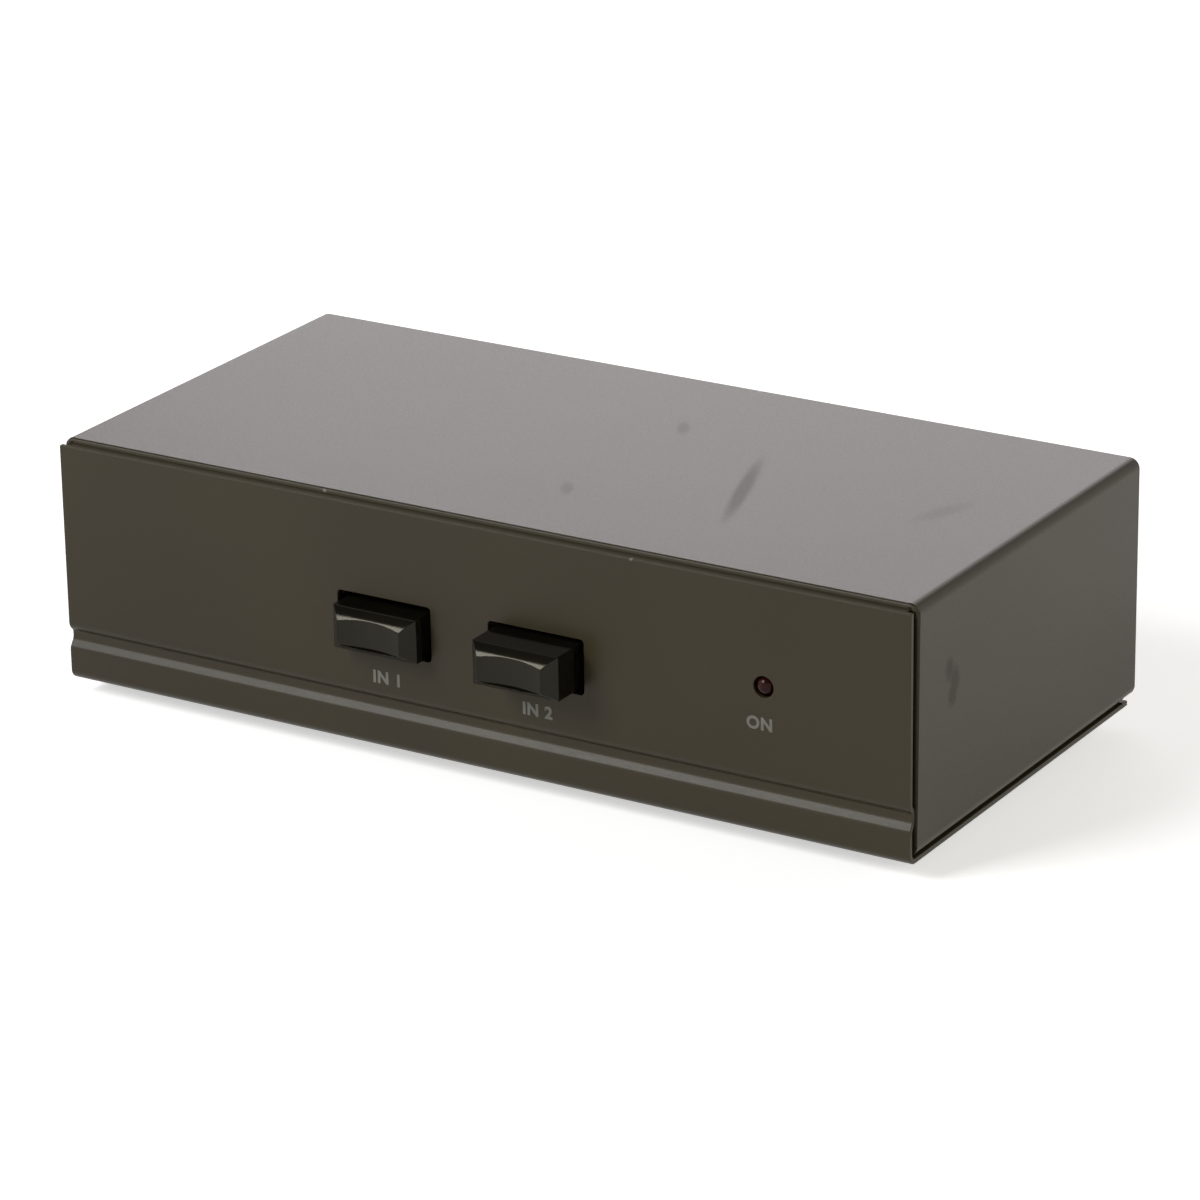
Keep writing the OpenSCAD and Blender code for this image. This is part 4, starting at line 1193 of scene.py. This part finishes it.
# Cover: a second blank of the same steel, folded down at both sides and in again over the chassis floor.
# It slides over the chassis from behind, and has the same enamel.
COVER_BEND = 1.6 * MM
SKIRT_BEND = 1.8 * MM
SKIRT_FLANGE = 9.0 * MM
SKIRT_END_GAP = 1.0 * MM
COVER_CORNER = 1.8 * MM
COVER_EDGE = 0.45 * MM
OUTER_REACH = 0.7 * SHEET
NOTCH_GAP = 0.3 * MM
NOTCH_H = 0.8 * MM
cover_low, cover_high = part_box("cover")
cover_half = cover_high.x
cover = flat_sheet("folded_cover", cover_low, cover_high, cover_high.z)
for side in (-1, 1):
    fold(
        cover,
        lambda middle, way: near(middle.x, side * cover_half) and near(middle.z, cover_high.z),
        ((0, 0, cover_low.z - cover_high.z), (-side * SKIRT_FLANGE, 0, 0)),
    )
for height, bend in ((cover_high.z, COVER_BEND), (cover_low.z, SKIRT_BEND)):
    round_folds(
        cover,
        lambda middle, way: abs(way.y) > MOSTLY
        and near(abs(middle.x), cover_half)
        and near(middle.z, height),
        bend,
        BEND_STEPS,
    )
thicken(cover)
flange_x = cover_half - SKIRT_BEND
flange_top = cover_low.z + 2 * SHEET
for start, end in (
    (cover_low.y - PAST, cover_low.y + SKIRT_END_GAP),
    (rear_y - SHEET - SKIRT_END_GAP, cover_high.y + PAST),
):
    ends = block("flange_end", (-flange_x, start, cover_low.z - PAST), (flange_x, end, flange_top))
    cut(cover, ends)
for x, y in cover_screw_places:
    drill(cover, SCREW_R, (x, y, cover_low.z - SHEET), (x, y, flange_top))
corner = block(
    "corner",
    (-cover_half - PAST, cover_high.y - COVER_CORNER, cover_low.z - PAST),
    (cover_half + PAST, cover_high.y + PAST, cover_low.z + COVER_CORNER),
)
corner_middle = (cover_high.y - COVER_CORNER, cover_low.z + COVER_CORNER)
drill(
    corner,
    COVER_CORNER,
    (-cover_half - 2 * PAST, *corner_middle),
    (cover_half + 2 * PAST, *corner_middle),
)
cut(cover, corner)
notch = block(
    "notch",
    (-cover_half - PAST, rear_y - SHEET + NOTCH_GAP, cover_low.z - PAST),
    (cover_half + PAST, cover_high.y + PAST, cover_low.z + NOTCH_H),
)
cut(cover, notch)
round_folds(
    cover,
    lambda middle, way: near(middle.y, cover_low.y)
    and middle.z > cover_low.z + SKIRT_BEND
    and max(abs(middle.x) - cover_half, middle.z - cover_high.z) > -OUTER_REACH,
    COVER_EDGE,
    EDGE_STEPS,
)
soften(cover, SHEET_EDGE)
hand_over(cover, enamel, "case", "case_paint", "cover")

# Cover screws: four black pan-head screws, driven from below through the floor into the cover's flanges.
# Their heads stay clear of the ground that the feet stand on.
COVER_SCREW_LEN = 5.0 * MM
HEAD_DOWN = (math.pi, 0, 0)
cover_screws = copies(
    pan_screw(COVER_SCREW_HEAD_R, COVER_SCREW_LEN),
    [(x, y, floor_z) for x, y in cover_screw_places],
    HEAD_DOWN,
)
hand_over(joined("cover_pan_screws", cover_screws), black_oxide, "case", "black_screw", "cover_screws")

# Feet: four moulded black rubber buttons, stuck under the floor near its corners.
# Each tapers a little and has a shallow hollow in its tread.
FOOT_TAPER = 0.4 * MM
FOOT_HOLLOW_R = 2.6 * MM
FOOT_HOLLOW = 0.3 * MM
FOOT_EDGE = 0.3 * MM
FOOT_SHARP = math.radians(50)
rubber = surface(
    "black_rubber", srgb(24, 24, 24), srgb(32, 32, 31), 3 * MM, 0.2 * MM, (0.65, 0.85), 0.012 * MM
)
for end in ("front", "rear"):
    for hand in ("left", "right"):
        node = f"foot_{end}_{hand}"
        foot_low, foot_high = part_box(node)
        foot_r = (foot_high.x - foot_low.x) / 2
        foot_h = foot_high.z - foot_low.z
        foot = turned(
            f"rubber_{node}",
            (
                (0, FOOT_HOLLOW),
                (FOOT_HOLLOW_R, FOOT_HOLLOW),
                (FOOT_HOLLOW_R + FOOT_HOLLOW, 0),
                (foot_r - FOOT_TAPER, 0),
                (foot_r, foot_h),
                (0, foot_h),
            ),
            (foot_low.x + foot_r, foot_low.y + foot_r, 0),
        )
        soften(foot, FOOT_EDGE, segments=4, angle=FOOT_SHARP)
        hand_over(foot, rubber, "case", "rubber_foot", node)

# Button caps: glossy black mouldings pushed on to the plungers, with a sloped rim, a face hollowed from
# side to side, two pockets behind and a square socket for the plunger's tip.
FACE_W = 10.8 * MM
FACE_LOW, FACE_HIGH = 1.95 * MM, 1.65 * MM
RIM = 1.9 * MM
CROWN = math.radians(26)
CROWN_STEPS = 10
DISH = 0.5 * MM
DISH_STEPS = 256
CAP_WALL = 1.2 * MM
CAP_POST = 5.6 * MM
CAP_FRONT = 4.5 * MM
TIP = 3.2 * MM
TIP_DEEP = 8.0 * MM
CAP_EDGE = 0.14 * MM
gloss_black = surface(
    "gloss_black", srgb(17, 15, 10), srgb(21, 19, 13), 4 * MM, 0.3 * MM, (0.1, 0.16), 0.0012 * MM
)
# The warm tint of the caps' reflections is painted: it stands in for warm light round the case.
dull(gloss_black, 0.24, (1, 0.94, 0.76, 1))
dish_r = FACE_W ** 2 / (8 * DISH) + DISH / 2


def drawn_out(name, outline, way):
    """A piece with a flat outline, drawn out along a vector."""
    piece = traced(outline)
    bpy.ops.mesh.edge_face_add()
    bpy.ops.mesh.extrude_region_move(TRANSFORM_OT_translate={"value": way})
    bpy.ops.mesh.select_all(action="SELECT")
    bpy.ops.mesh.normals_make_consistent(inside=False)
    return settle(piece, name)


def crowned(start, end):
    """Points of an arc from one (y, z) point up and back to another, steeper at its start."""
    chord = Vector(end) - Vector(start)
    radius = chord.length / (2 * math.sin(CROWN / 2))
    steep = math.atan2(chord.y, chord.x) + CROWN / 2
    middle = Vector(start) + radius * Vector((math.sin(steep), -math.cos(steep)))
    turns = [steep - CROWN * step / CROWN_STEPS for step in range(CROWN_STEPS + 1)]
    return [middle + radius * Vector((-math.sin(turn), math.cos(turn))) for turn in turns]


for station in ("aux", "phono"):
    cap_low, cap_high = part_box(f"{station}_button")
    x, z = (cap_low.x + cap_high.x) / 2, (cap_low.z + cap_high.z) / 2
    plunger_z = phono_cap.z
    width, height = cap_high.x - cap_low.x, cap_high.z - cap_low.z
    rim_y = cap_low.y + RIM
    side_view = crowned((cap_low.y, z + FACE_HIGH), (rim_y, cap_high.z))
    side_view += [(cap_high.y, cap_high.z), (cap_high.y, cap_low.z)]
    side_view += [(rim_y, cap_low.z), (cap_low.y, z - FACE_LOW)]
    cap = drawn_out(f"{station}_gloss_cap", [(x - width, *point) for point in side_view], (2 * width, 0, 0))
    top_view = (
        (x - FACE_W / 2, cap_low.y),
        (x + FACE_W / 2, cap_low.y),
        (cap_high.x, rim_y),
        (cap_high.x, cap_high.y),
        (cap_low.x, cap_high.y),
        (cap_low.x, rim_y),
    )
    plan = drawn_out("plan", [(*point, z - height) for point in top_view], (0, 0, 2 * height))
    cut(cap, plan, "INTERSECT")
    dish_y = cap_low.y + DISH - dish_r + 2 * TINY
    drill(cap, dish_r, (x, dish_y, z - height), (x, dish_y, z + height), DISH_STEPS)
    pocket_h = height / 2 - CAP_WALL
    for side in (-1, 1):
        inner, outer = sorted((x + side * CAP_POST / 2, x + side * (width / 2 - CAP_WALL)))
        pocket = block(
            "pocket",
            (inner, cap_low.y + CAP_FRONT, z - pocket_h),
            (outer, cap_high.y + PAST, z + pocket_h),
        )
        cut(cap, pocket)
    socket = block(
        "socket",
        (x - TIP / 2, cap_high.y - TIP_DEEP, plunger_z - TIP / 2),
        (x + TIP / 2, cap_high.y + PAST, plunger_z + TIP / 2),
    )
    cut(cap, socket)
    soften(cap, CAP_EDGE, segments=3)
    hand_over(cap, gloss_black, f"{station}_station", "button_plastic", f"{station}_button")
